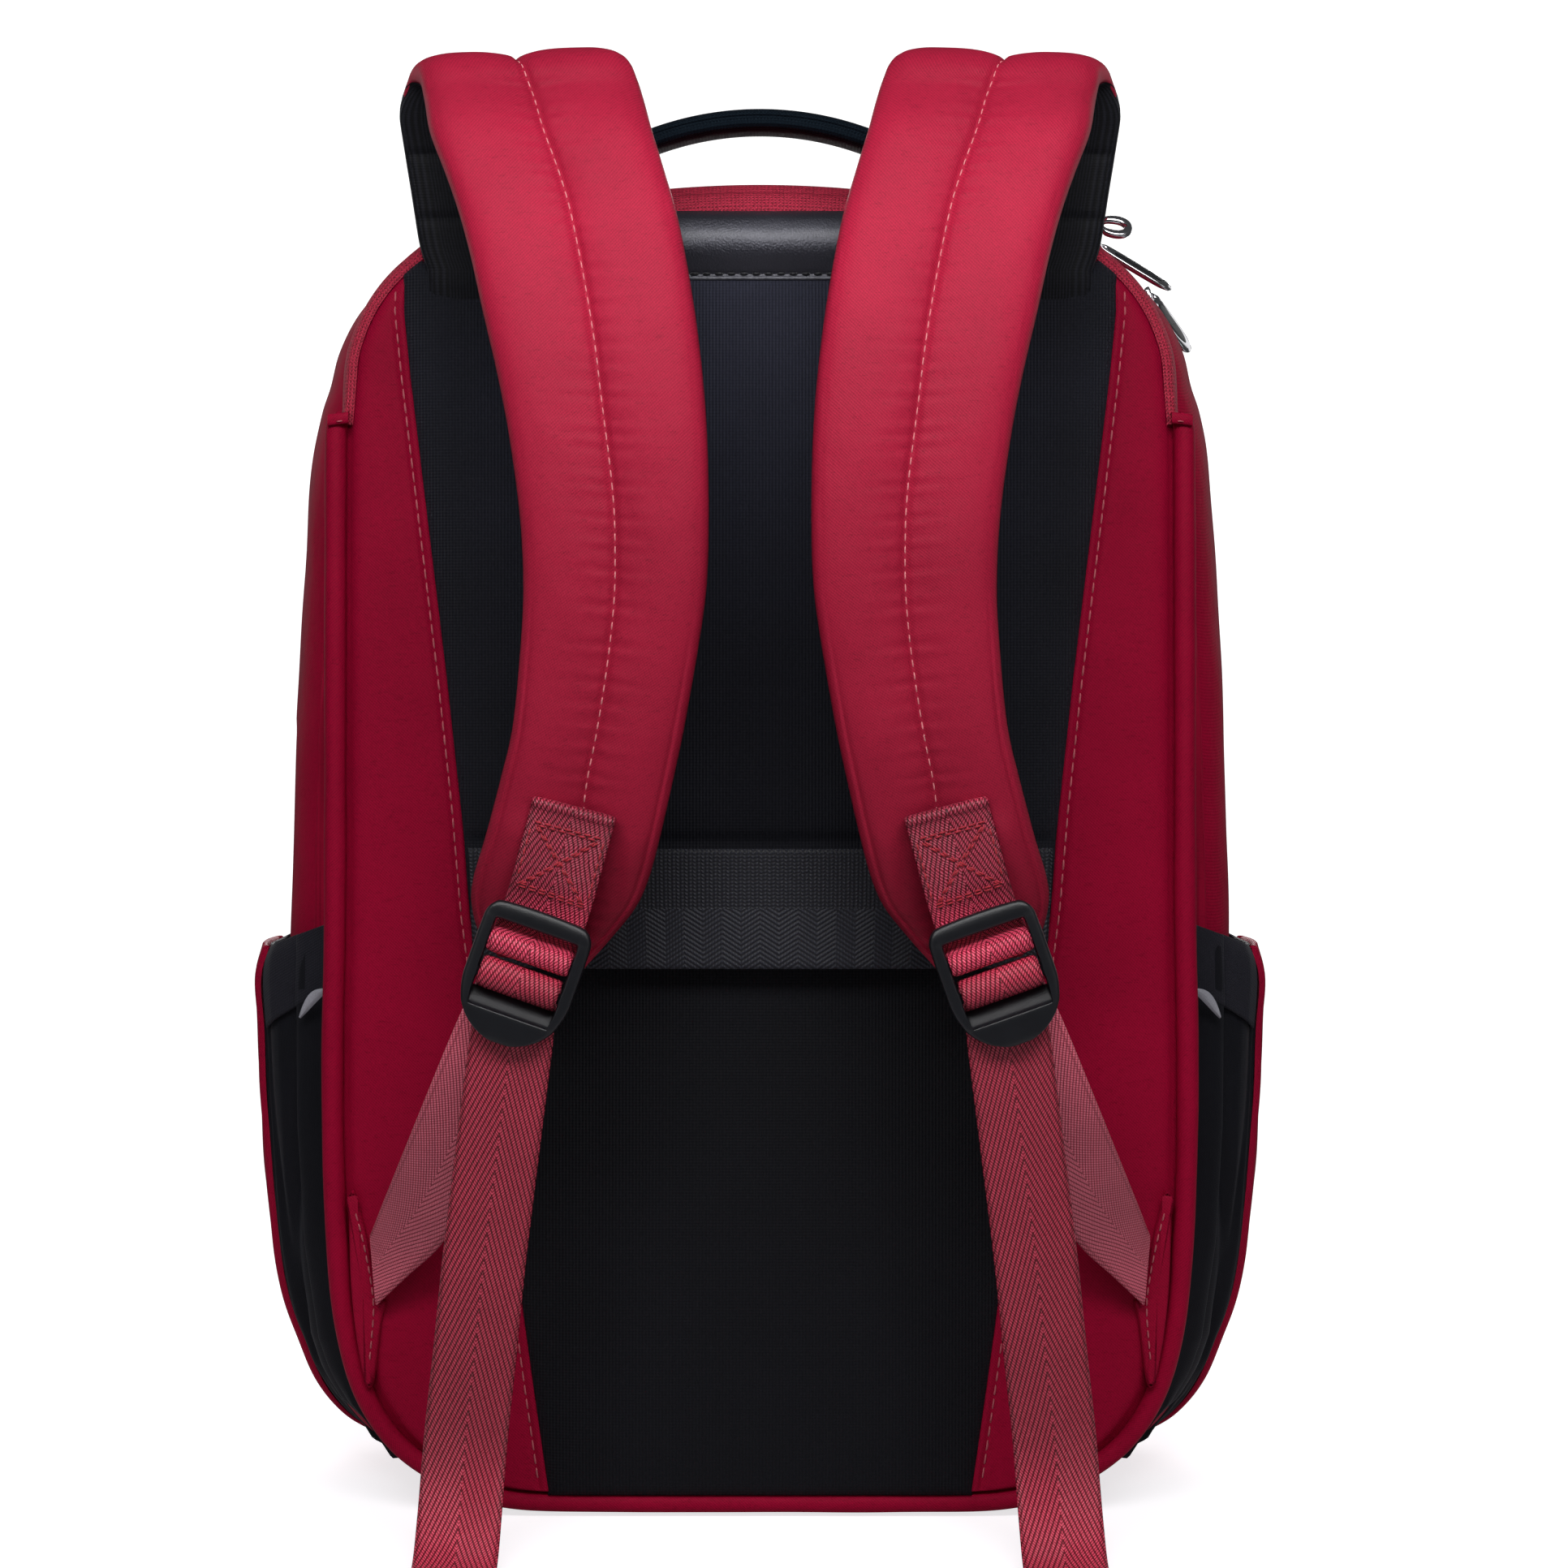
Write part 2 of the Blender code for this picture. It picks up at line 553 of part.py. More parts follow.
for side, word in ((-1, "left"), (1, "right")):
    flip = mirrored if side > 0 else (lambda pts: pts)
    edge_a = np.array(flip(outer_edge.tolist()))
    edge_b = np.array(flip(inner_edge.tolist()))
    facing = -side
    add_solid("strap_pad_" + word,
              *ribbon(edge_a, edge_b, pad_across, pad_top, pad_bottom, facing), RED)
    add_solid("strap_lining_" + word,
              *ribbon(edge_a, edge_b, lining_across, lining_top, lining_bottom, facing), MESH)

    # webbing sewn on the strap, run down behind the top rail and turned round the upper bar
    sewn = [(48.5, -4.6, 1.6), (36.0, -4.4, 1.0), (27.0, -4.8, 0.4), (20.0, -6.6, 0), (15.6, -7.3, 0),
            (12.0, -5.8, 0), (10.2, -2.6, 0), (9.4, 0.6, 0), (8.5, 2.6, 0), (6.5, 3.4, 0), (4.5, 2.6, 0),
            (3.7, 0.8, 0), (3.6, -1.8, 0), (4.2, -5.2, 0), (6.4, -8.4, 0), (12.0, -9.6, 0)]
    sewn = smooth_path(sewn, 34).tolist()
    add_solid("strap_webbing_" + word, *webbing_along(side, sewn, 12.3, 1.3), WEBBING)

    add_solid("buckle_" + word, *buckle_solid(side), PLASTIC,
              pivot=buckle_point(side, 0, TOP_BAR_V, 0), smooth=False)

    # the adjusting webbing, turned over the lower bar
    wrap = [(-0.9, -2.2, 0), (-0.8, 1.0, 0), (-1.7, 2.6, 0), (-3.6, 3.3, 0), (-5.5, 2.6, 0),
            (-6.4, 1.0, 0), (-6.3, -2.2, 0)]
    wrap = smooth_path(wrap, 14).tolist()
    add_solid("webbing_wrap_" + word, *webbing_along(side, wrap, 12.3, 1.3), WEBBING)

    # lower webbing from the wing up to the back of the buckle
    top_left, top_right = (list(buckle_point(-1, u, -0.9, -3.5)) for u in (-12.3, 12.3))
    low_left = smooth_path([(-121.9, -8.0, 90.6), (-117.4, -15, 101), (-104.0, -35, 131), (-92.0, -49.5, 158),
                            (-86.8, -53.4, 169.0), (-83.6, -54.6, 175.4), top_left], 15)
    low_right = smooth_path([(-118.2, -6.0, 70.2), (-106.5, -13, 79.5), (-86.5, -31, 112), (-69.0, -47, 142),
                             (-63.2, -52.6, 157.0), (-60.2, -54.4, 166.0), top_right], 15)
    low_left, low_right = (np.array(flip(e.tolist())) for e in (low_left, low_right))
    add_solid("lower_webbing_" + word,
              *ribbon(low_left, low_right, [0.0, 1.0], lambda a, s: 0.65, lambda a, s: -0.65, 1.0), WEBBING)

    # free end of the webbing, hanging to the floor and lying forward on it
    tail_mid = smooth_path([(-72.1, -56.9, 170.6), (-72.9, -56.0, 164), (-73.8, -55.6, 156), (-75.2, -54.2, 146),
                            (-79.4, -51.0, 114), (-82.4, -49.5, 90), (-85.2, -49.5, 62), (-87.6, -51.5, 38),
                            (-88.8, -57.5, 17), (-89.2, -68, 4.6), (-89.4, -84, 1.2), (-90.0, -104, 1.0),
                            (-91.0, -132, 1.0)], 28)
    tail_left, tail_right = [], []
    for k, p in enumerate(tail_mid):
        s = k / (len(tail_mid) - 1)
        tilt = math.radians(at_height([(0, 19.5), (0.12, 9), (0.5, 5), (0.62, 1), (1, 2)], s))
        wide = np.array((math.cos(tilt), 0.0, -math.sin(tilt) if p[2] > 12 else 0.0)) * 12.5
        tail_left.append(p - wide)
        tail_right.append(p + wide)
    tail_left = np.array(flip(np.array(tail_left).tolist()))
    tail_right = np.array(flip(np.array(tail_right).tolist()))
    add_solid("webbing_tail_" + word,
              *ribbon(tail_left, tail_right, [0.0, 1.0], lambda a, s: 0.7, lambda a, s: -0.7, 1.0), WEBBING)

    wing = [(-127.2, 102.8), (-122.8, 92.4), (-118.9, 70.4), (-116.2, 67.0), (-117.4, 62.0), (-120.2, 42.0),
            (-122.6, 43.0), (-125.8, 58.0), (-127.6, 78.0)]
    wing_points = flip([(x, -0.3, z) for x, z in wing])
    add_solid("webbing_wing_" + word, *prism(wing_points, (0, -1, 0), 3.4), RED)

    # side pocket: outer panel, folded gusset and the elastic round its mouth
    levels = [(129.0, 5.4), (142.7, 16), (155.0, 32.5), (161.2, 49), (164.6, 66), (167.0, 84),
              (169.6, 116), (171.3, 148.6), (172.0, 165), (169.6, 175.4)]
    body_side = [(x, z) for x, z in MAIN_HALF if z < 330]
    heights = [z for _, z in body_side][::-1]
    widths = [x for x, _ in body_side][::-1]

    def body_x(z, y):
        return float(np.interp(z, heights, widths)) + at_height(MAIN_OFFSETS[:6] + [(78, 0.6), (88, 1.6), (94, 1.6), (108, -1.2)], y)

    def pocket_surface(rows, ys, reach):
        grid = []
        for y, g in zip(ys, reach):
            column = []
            for (x, z), lift in rows:
                zb = z + lift
                near = np.array((body_x(max(zb, 9.0), y) + at_height([(30, 7.6), (80, 5.8)], zb), zb))
                far = np.array((x, z))
                p = near + (far - near) * g
                column.append((side * p[0], y, p[1]))
            grid.append(column)
        return np.array(grid)

    def sheet(grid, thick, inwards):
        n = grid_normals(grid, False)
        middle = np.array((side * 150.0, 66.0, 90.0))
        if np.sum(n * (grid - middle)) < 0:
            n = -n
        start = grid - n * inwards
        return thick_grid(start, start - n * thick, lambda i, j: True, False)

    wall_y = [33, 38, 45, 52, 58, 90, 97, 103, 108]
    wall_g = [0.0, 0.32, 0.72, 0.95, 1.0, 1.0, 0.94, 0.55, 0.0]
    low_rows = [(p, 4.5 * (1 - k / 6)) for k, p in enumerate(levels[:7])] + [((171.2, 146.6), 1.0)]
    top_rows = [((171.3, 149.6), 18.0), (levels[8], 20.0), (levels[9], 11.0)]
    add_solid("pocket_gusset_" + word, *sheet(pocket_surface(low_rows, wall_y, wall_g), 1.2, 2.2), BLACK)
    add_solid("pocket_band_" + word, *sheet(pocket_surface(top_rows, wall_y, wall_g), 1.2, 2.2), BLACK)
    panel_rows = [(p, 0.0) for p in levels]
    add_solid("pocket_panel_" + word,
              *sheet(pocket_surface(panel_rows, [53, 60, 75, 90, 96], [1.0] * 5), 1.7, 0.0), RED)

# --- carry handle ----------------------------------------------------------------------------
handle_y, handle_z = HANDLE_AXIS
spine = []
for k in range(25):
    t = -1 + 2 * k / 24
    x = 64.6 * t
    drop = HANDLE_RADIUS - math.sqrt(HANDLE_RADIUS ** 2 - (x * 0.985) ** 2)
    spine.append((x, handle_y, HANDLE_TOP - drop))
rings = []
for k, (x, y, z) in enumerate(spine):
    t = abs(-1 + 2 * k / 24)
    wide = at_height([(0, 10.5), (0.6, 10.5), (0.85, 8.0), (1.0, 6.6)], t)
    thick = at_height([(0, 4.9), (0.6, 4.9), (0.85, 3.6), (1.0, 2.6)], t)
    slope = math.atan2(x * 0.97, math.sqrt(HANDLE_RADIUS ** 2 - (x * 0.985) ** 2))
    up = np.array((math.sin(slope), 0, math.cos(slope)))
    ring = []
    for i in range(10):
        w = 2 * math.pi * (i + 0.5) / 10
        c, s = math.cos(w), math.sin(w)
        ring.append(np.array((x, y, z)) + np.array((0, 1, 0)) * wide * math.copysign(abs(c) ** 0.6, c)
                    + up * thick * math.copysign(abs(s) ** 0.6, s))
    rings.append(np.array(ring))
add_solid("carry_handle", *loft(rings), BAND, pivot=(0, handle_y, handle_z))

for side, word in ((-1, "left"), (1, "right")):
    profile = [(67.3, 419.0), (67.3, 425.2), (69.0, 426.6), (75.0, 423.4), (79.0, 418.8), (78.4, 417.4)]
    corners = [(side * x, handle_y - 7.5, z) for x, z in profile]
    add_solid("handle_anchor_" + word, *prism(corners, (0, 1, 0), 15.0), BAND)


# --- zip sliders and pullers -----------------------------------------------------------------
def on_arc(shoulder, radius, angle, along=0.0):
    cx, cz, _ = shoulder
    a = math.radians(angle)
    return np.array((cx + radius * math.cos(a) + along * math.sin(a),
                     cz + radius * math.sin(a) - along * math.cos(a)))


def slider_solid(shoulder, surface, angle, y, tip_y):
    """A slider body on the tape with a bridge over it, as one profile through its width."""
    profile = [(-4.4, 0.5), (-4.4, 1.9), (-3.0, 2.3), (-2.2, 4.2), (2.2, 4.2), (3.0, 2.3), (4.4, 1.9), (4.4, 0.5)]
    corners = []
    for along, high in profile:
        x, z = on_arc(shoulder, surface + high, angle, along)
        corners.append((x, y, z))
    return prism(corners, (0, 1, 0), tip_y)


def puller_solid(shoulder, surface, angle, y, length, width, turn, loop):
    """A flat pull hung beside the slider's bridge. It is a closed loop when loop is true."""
    root = on_arc(shoulder, surface + 5.4, angle, 2.4)
    a = math.radians(angle - 90 + turn)
    d = np.array((math.cos(a), math.sin(a)))
    up = np.array((-d[1], d[0]))
    thick = 0.9

    def place(along, across, high):
        p = root + d * along + up * high
        return (p[0], y + across, p[1])

    half = width / 2
    steps = [(0.0, 0.45), (0.10, 0.75), (0.3, 0.95), (0.6, 1.0), (0.85, 0.85), (0.96, 0.55), (1.0, 0.3)]
    rows = [0.0, 0.10, 0.24, 0.50, 0.76, 0.90, 1.0] if loop else [0.0, 0.12, 0.22, 0.40, 0.70, 0.90, 1.0]
    columns = [-1.0, -0.45, 0.45, 1.0]
    top, bottom = [], []
    for c in columns:
        col_t, col_b = [], []
        for r in rows:
            w = half * at_height(steps, r)
            col_t.append(place(length * r, c * w, thick))
            col_b.append(place(length * r, c * w, -thick))
        top.append(col_t)
        bottom.append(col_b)
    open_rows = (1, 2, 3, 4) if loop else (1,)
    return thick_grid(np.array(top), np.array(bottom),
                      lambda i, j: not (i == 1 and j in open_rows), False), root


SLIDERS = {
    "laptop": (REAR_SHOULDER, 53.6, 64.0, 6.6, 13.5, 7.0, 18.0, True),
    "main": (MAIN_SHOULDER, 55.8, 70.0, 54.0, 31.0, 7.6, -12.0, False),
    "front": (MAIN_SHOULDER, 58.6, 47.0, 90.0, 31.0, 7.6, -10.0, False),
}
for word, (arc, surface, angle, y, length, width, turn, loop) in SLIDERS.items():
    add_solid("slider_" + word, *slider_solid(arc, surface, angle, y - 3.2, 6.4), CHROME,
              pivot=(arc[0], y, arc[1]), smooth=False)
    (points, faces), root = puller_solid(arc, surface, angle, y, length, width, turn, loop)
    add_solid("puller_" + word, points, faces, CHROME, pivot=(root[0], y, root[1]), smooth=False)
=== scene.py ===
# Looks of the travel backpack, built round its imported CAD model.
# Lengths are millimetres until a mesh is made. X runs across the pack, Z up, and Y away from the
# viewer's side: Y = 0 is the outer face of the back panel. The pack is the same on both sides.
import math

import bpy
import numpy as np
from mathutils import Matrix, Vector


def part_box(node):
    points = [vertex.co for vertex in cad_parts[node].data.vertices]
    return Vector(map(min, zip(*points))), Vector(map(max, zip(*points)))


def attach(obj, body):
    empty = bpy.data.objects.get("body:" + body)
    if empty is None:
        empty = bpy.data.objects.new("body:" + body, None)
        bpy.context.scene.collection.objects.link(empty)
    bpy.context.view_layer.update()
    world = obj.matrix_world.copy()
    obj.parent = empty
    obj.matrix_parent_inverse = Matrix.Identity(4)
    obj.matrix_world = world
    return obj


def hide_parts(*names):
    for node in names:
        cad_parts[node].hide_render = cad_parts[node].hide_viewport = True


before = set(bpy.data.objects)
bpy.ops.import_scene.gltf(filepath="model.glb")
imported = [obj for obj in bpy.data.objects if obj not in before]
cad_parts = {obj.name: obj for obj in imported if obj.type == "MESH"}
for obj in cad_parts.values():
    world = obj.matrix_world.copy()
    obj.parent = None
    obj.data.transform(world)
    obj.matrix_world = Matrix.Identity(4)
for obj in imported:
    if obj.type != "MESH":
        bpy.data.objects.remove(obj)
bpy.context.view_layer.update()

MM = 0.001
Y0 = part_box("back_panel")[0].y
SIDES = ((-1, "left"), (1, "right"))
TURN = 2 * math.pi

# outlines seen from behind: each shoulder is (centre x, centre z, radius), each side (x, z) points
REAR_SHOULDER = (78.8, 356.5, 55.0)
MAIN_SHOULDER = (88.0, 355.0, 57.0)
SHOULDER_FROM, SHOULDER_TO = 74.0, 8.0
REAR_SIDE = [
    (134.3, 335), (134.5, 270), (134.6, 190), (135.3, 150), (135.0, 112), (133.2, 78),
    (130.6, 57), (125.5, 39), (117, 25), (106, 15.5), (91, 8), (74, 4.4), (40, 3.8), (0, 3.8),
]
MAIN_SIDE = [
    (147.6, 353), (150.8, 335), (153.7, 297), (156.0, 250), (157.0, 215), (158.0, 170), (157.3, 120),
    (155.0, 82), (150.5, 52), (143.0, 31), (131, 15), (116, 6.2), (98, 3.2), (50, 2.7), (0, 2.7),
]
# how far each shell lies outside its outline, as (y, offset)
GUSSET_OFFSETS = [(4.4, -3.6), (8.0, -0.9), (14.0, 0.0), (22.0, 0.0), (28.0, -3.0)]
MAIN_OFFSETS = [(28.8, -24), (29.6, -15), (31, -11), (36, -6), (42, -3), (50, -1.5), (58, -1), (68, 0), (78, 0.6),
                (78.9, -0.6)]
FRONT_OFFSETS = [
    (79.6, -0.6), (80.4, 0.7), (86, 1.6), (94, 1.6), (106, -0.6), (118, -6.5), (128, -15), (136, -27),
    (141.5, -43), (144, -62),
]
MAIN_ZIP_Y = (50.0, 58.0)
FRONT_ZIP_Y = (86.0, 94.0)
LAPTOP_ZIP_END = 345.0
SIDE_ZIP_END = 250.0

# edges of the left strap, from the top of the back panel over the arch to the strap's tip
STRAP_OUTER = [
    (-103.4, -3.4, 392.8), (-105.9, -4, 401), (-108.2, -5, 416), (-110.4, -6.6, 431),
    (-111.2, -12.5, 443), (-108.2, -21.0, 449.9), (-104.2, -29.6, 447.9), (-102.0, -33.8, 440.8),
    (-99.4, -40.3, 429.2), (-94.6, -44.6, 416.7), (-90.2, -47.6, 404.3), (-86.4, -50.3, 390.9),
    (-82.4, -53.1, 373.6), (-77.8, -55.4, 354.2), (-74.1, -56.8, 335.1), (-71, -57.4, 312),
    (-70, -56.8, 292), (-70.8, -55.5, 275), (-73.4, -53, 250), (-77.2, -50.5, 234),
    (-82.2, -47, 216), (-86, -44.2, 204), (-86.8, -42.5, 196), (-84.4, -41, 186.5),
    (-79, -40, 180),
]
STRAP_INNER = [
    (-36.4, -3.4, 392.8), (-38.8, -4, 401), (-41, -5, 416), (-43.3, -6.6, 431),
    (-44, -12.5, 443.5), (-41.8, -21, 452.3), (-38.8, -30, 450), (-35.6, -33.8, 440.8),
    (-32.6, -40.3, 429.2), (-28.9, -44.6, 416.7), (-25.4, -47.6, 404.3), (-22.6, -50.3, 390.9),
    (-19.7, -53.1, 373.6), (-17.3, -55.4, 354.2), (-15.9, -56.8, 335.1), (-15.4, -57.4, 312),
    (-16, -56.8, 292), (-18.2, -55.5, 275), (-22.6, -53, 250), (-26, -50.5, 234),
    (-30.2, -47, 216), (-33.5, -44.2, 204), (-37.5, -42.5, 195), (-45, -40.6, 185.5),
    (-53.5, -39.4, 176),
]
# the strap's stitched seam, as (z, x)
SEAM_X = [
    (226.5, -53.3), (236, -51.1), (250.7, -48), (265, -45.6), (282, -43.4), (301.5, -42.7), (321, -43.4),
    (340, -46.3), (366, -49.2), (379.6, -51.9), (391.5, -54), (405, -57.2), (417, -60.6), (430, -65.1),
    (439.8, -69.0), (446.6, -72.9),
]
# half width of the mesh pad, as (z, x)
PAD_SIDE = [
    (6.0, 66.3), (40, 71.2), (115, 81.5), (190, 91.4), (223, 94.2), (264, 98.6), (325, 106.0),
    (360, 110.2), (380, 112.2), (391, 112.0),
]
PAD_LOW, PAD_HIGH, PAD_TOP = 6.6, 391.0, 396.5
PATCH_HALF = 36.4
WEBBING_WIDTH = 25.0

BUCKLE_CENTRE = (-70.0, -60.0, 176.8)
BUCKLE_LEAN = math.radians(19.5)

TAIL_ROUTE = [
    (-72.1, -56.9, 170.6), (-72.9, -56.0, 164), (-73.8, -55.6, 156), (-75.2, -54.2, 146),
    (-79.4, -51.0, 114), (-82.4, -49.5, 90), (-85.2, -49.5, 62), (-87.6, -51.5, 38),
    (-88.8, -57.5, 17), (-89.2, -68, 4.6), (-89.4, -84, 1.2), (-90.0, -104, 1.0), (-91.0, -132, 1.0),
]


# --- numbers and curves ------------------------------------------------------------------------
def at(pairs, where):
    """Straight lines through (x, y) pairs, read at values of x."""
    xs, ys = zip(*pairs)
    return np.interp(where, xs, ys)


def smooth(x, low, high):
    t = np.clip((np.asarray(x, float) - low) / (high - low), 0, 1)
    return t * t * (3 - 2 * t)


def peak(x, width, power=2):
    """1 at zero, falling off on both sides over about the width."""
    return np.exp(-(x / width) ** power)


def xyz(x, y, z):
    """Points from coordinates that are arrays or single values."""
    return np.stack(np.broadcast_arrays(x, y, z), axis=-1).astype(float)


def run_of(path):
    """Distance along a path at each of its points."""
    steps = np.linalg.norm(np.diff(path, axis=0), axis=1)
    return np.concatenate([[0], np.cumsum(steps)])


def catmull(points, count, closed=False, fine=12):
    """A smooth curve through the points, resampled at even distances."""
    pts = np.array(points, float)
    if closed:
        ends = np.vstack([pts[-1], pts, pts[0], pts[1]])
    else:
        ends = np.vstack([2 * pts[0] - pts[1], pts, 2 * pts[-1] - pts[-2]])
    dense = []
    t = (np.arange(fine) / fine)[:, None]
    for a, b, c, d in zip(ends, ends[1:], ends[2:], ends[3:]):
        dense.append(0.5 * (2 * b + (c - a) * t + (2 * a - 5 * b + 4 * c - d) * t * t
                            + (3 * b - a - 3 * c + d) * t ** 3))
    dense = np.vstack(dense + [ends[-2][None]])
    run = run_of(dense)
    where = np.linspace(0, run[-1], count + 1 if closed else count)
    made = np.stack([np.interp(where, run, dense[:, i]) for i in range(dense.shape[1])], axis=1)
    return made[:-1] if closed else made


def spread(pairs, values):
    """A smooth curve through (x, y) pairs, read at values of x."""
    line = catmull(pairs, 40 * len(pairs))
    return np.interp(values, line[:, 0], line[:, 1])


def unit(v):
    v = np.asarray(v, float)
    return v / np.maximum(np.linalg.norm(v, axis=-1, keepdims=True), 1e-9)


def ripple(p, scale, seed, count=7):
    """Soft unevenness between about -1 and 1, the same each run."""
    rng = np.random.default_rng(seed)
    total = 0
    for _ in range(count):
        k = rng.normal(size=p.shape[-1])
        k = k / np.linalg.norm(k) * rng.uniform(0.6, 1.5)
        total = total + np.sin(TURN * (p @ k) / scale + rng.uniform(0, 6.283))
    return total / math.sqrt(count) / 1.2


def evened(values, width):
    """A running mean over an odd number of values, the ends held."""
    return np.convolve(np.pad(values, width // 2, mode="edge"), np.ones(width) / width, mode="valid")


def half_outline(shoulder, side):
    """Half an outline: a shallow arc over the top, the shoulder's arc, and the side's points."""
    cx, cz, r = shoulder
    joint = math.radians(SHOULDER_FROM)
    jx, jz = cx + r * math.cos(joint), cz + r * math.sin(joint)
    big = jx / math.cos(joint)
    base = jz - big * math.sin(joint)
    points = []
    for k in range(4):
        t = math.radians(90 - (90 - SHOULDER_FROM) * k / 4)
        points.append((big * math.cos(t), base + big * math.sin(t)))
    for k in range(7):
        t = math.radians(SHOULDER_FROM * (1 - k / 6) + SHOULDER_TO * (k / 6))
        points.append((cx + r * math.cos(t), cz + r * math.sin(t)))
    return points + side


def full_outline(half, count):
    return catmull(half + [(-x, z) for x, z in half[-2:0:-1]], count, closed=True)


def left_normals(path):
    along = np.gradient(path, axis=0)
    return unit(np.stack([-along[:, 1], along[:, 0]], axis=1))


def normals_2d(ring):
    """Outward directions round a closed outline."""
    along = np.roll(ring, -1, axis=0) - np.roll(ring, 1, axis=0)
    out = unit(np.stack([-along[:, 1], along[:, 0]], axis=1))
    return -out if np.sum(out * (ring - ring.mean(axis=0))) < 0 else out


REAR_HALF = half_outline(REAR_SHOULDER, REAR_SIDE)
MAIN_HALF = half_outline(MAIN_SHOULDER, MAIN_SIDE)
REAR = full_outline(REAR_HALF, 520)
MAIN = full_outline(MAIN_HALF, 560)


def ring_at(ring, y, amount):
    """The outline at one depth; what lies outside it never reaches below its flat bottom."""
    amount = np.array(np.broadcast_to(amount, len(ring)), float)
    fade = np.clip((ring[:, 1] - 3.5) / 16.5, 0, 1)
    amount = np.where((amount > 0) & (ring[:, 1] < 20), amount * fade, amount)
    moved = ring + normals_2d(ring) * amount[:, None]
    return xyz(moved[:, 0], y, moved[:, 1])


def soften(ring, width):
    """A closed ring with each point moved to a weighted mean of its neighbours."""
    if width < 1:
        return ring
    kernel = np.hanning(2 * width + 3)[1:-1]
    padded = np.concatenate([ring[-width:], ring, ring[:width]])
    return np.stack([np.convolve(c, kernel / kernel.sum(), mode="valid") for c in padded.T], axis=1)


def panel_inset(z):
    """How far the back panel's seam lies inside the rear outline."""
    return -(3.7 + 0.9 * smooth(z, 8, 24) + 0.9 * smooth(z, 340, 362) + 5.2 * smooth(z, 403, 420))


def flipped(points, side):
    """The left side's points, or their mirror image for the right side."""
    return np.asarray(points, float) * np.array((-side, 1.0, 1.0))


# --- meshes ------------------------------------------------------------------------------------
def add_mesh(name, points, quads, uvs, material, slot, body="pack", replaces=None, tris=(), tri_uvs=()):
    """One object from points in millimetres, its faces and their corners' UVs in millimetres."""
    points = np.asarray(points, float) * MM
    points[:, 1] += Y0
    quads, tris = np.asarray(quads, np.int64), np.asarray(tris, np.int64)
    mesh = bpy.data.meshes.new(name)
    mesh.vertices.add(len(points))
    mesh.vertices.foreach_set("co", points.astype(np.float32).ravel())
    loops = np.concatenate([quads.ravel(), tris.ravel()])
    mesh.loops.add(len(loops))
    mesh.loops.foreach_set("vertex_index", loops.astype(np.int32))
    sizes = [4] * len(quads) + [3] * len(tris)
    mesh.polygons.add(len(sizes))
    mesh.polygons.foreach_set("loop_start", np.concatenate([[0], np.cumsum(sizes)[:-1]]).astype(np.int32))
    mesh.update(calc_edges=True)
    mesh.validate()
    flat = np.concatenate([np.ravel(uvs), np.ravel(tri_uvs)])
    mesh.uv_layers.new(name="UVMap").data.foreach_set("uv", flat.astype(np.float32))
    mesh.polygons.foreach_set("use_smooth", [True] * len(mesh.polygons))
    mesh.materials.append(material)
    made = bpy.data.objects.new(name, mesh)
    bpy.context.scene.collection.objects.link(made)
    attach(made, body)
    if replaces:
        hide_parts(replaces)
    return made


def grid_cells(nu, nv, wrap_u=False, wrap_v=False):
    """The quads of a sheet of points, and each corner's place in it."""
    i = np.arange(nu if wrap_u else nu - 1)
    j = np.arange(nv if wrap_v else nv - 1)
    i, j = (g.ravel() for g in np.meshgrid(i, j, indexing="ij"))
    i2, j2 = (i + 1) % nu, (j + 1) % nv
    quads = np.stack([i * nv + j, i2 * nv + j, i2 * nv + j2, i * nv + j2], axis=1)
    places = ((i, j), (i + 1, j), (i + 1, j + 1), (i, j + 1))
    return quads, np.stack([np.stack(p, axis=1) for p in places], axis=1)


def faces_of(points, quads):
    """Middle and normal of each quad."""
    a, b, c, d = (points[quads[:, k]] for k in range(4))
    return (a + b + c + d) / 4, np.cross(c - a, d - b)


def uvs_at(u, v, corners, shape):
    u, v = np.broadcast_to(u, shape), np.broadcast_to(v, shape)
    i, j = corners[..., 0], corners[..., 1]
    return np.stack([u[i, j], v[i, j]], axis=-1)


def add_grid(name, grid, material, slot, toward, u=None, v=None, wrap_u=False, wrap_v=False, **more):
    """A sheet of points, its face turned toward a direction or along a function's vectors.
    u and v are its coordinates in millimetres, one per corner of the sheet."""
    grid = np.asarray(grid, float)
    nu, nv = grid.shape[:2]
    quads, corners = grid_cells(nu, nv, wrap_u, wrap_v)
    if u is None:
        wrapped = np.concatenate([grid, grid[:1]]) if wrap_u else grid
        u = np.stack([run_of(wrapped[:, j]) for j in range(nv)], axis=1)
        u = u - u[len(u) // 2]
        u = np.concatenate([u, u[:, :1]], axis=1) if wrap_v else u
    if v is None:
        wrapped = np.concatenate([grid, grid[:, :1]], axis=1) if wrap_v else grid
        v = np.stack([run_of(row) for row in wrapped], axis=0)
        v = np.concatenate([v, v[:1]], axis=0) if wrap_u else v
    uvs = uvs_at(u, v, corners, (nu + wrap_u, nv + wrap_v))
    points = grid.reshape(-1, 3)
    middle, normal = faces_of(points, quads)
    if np.sum(normal * (toward(middle) if callable(toward) else toward)) < 0:
        quads, uvs = quads[:, ::-1], uvs[:, ::-1]
    return add_mesh(name, points, quads, uvs, material, slot, **more)


def flat_uv(grid, v_axis=2):
    """UVs taken straight from a closed sheet's own coordinates."""
    closed = np.concatenate([grid, grid[:1]])
    return {"wrap_u": True, "u": closed[..., 0], "v": closed[..., v_axis]}


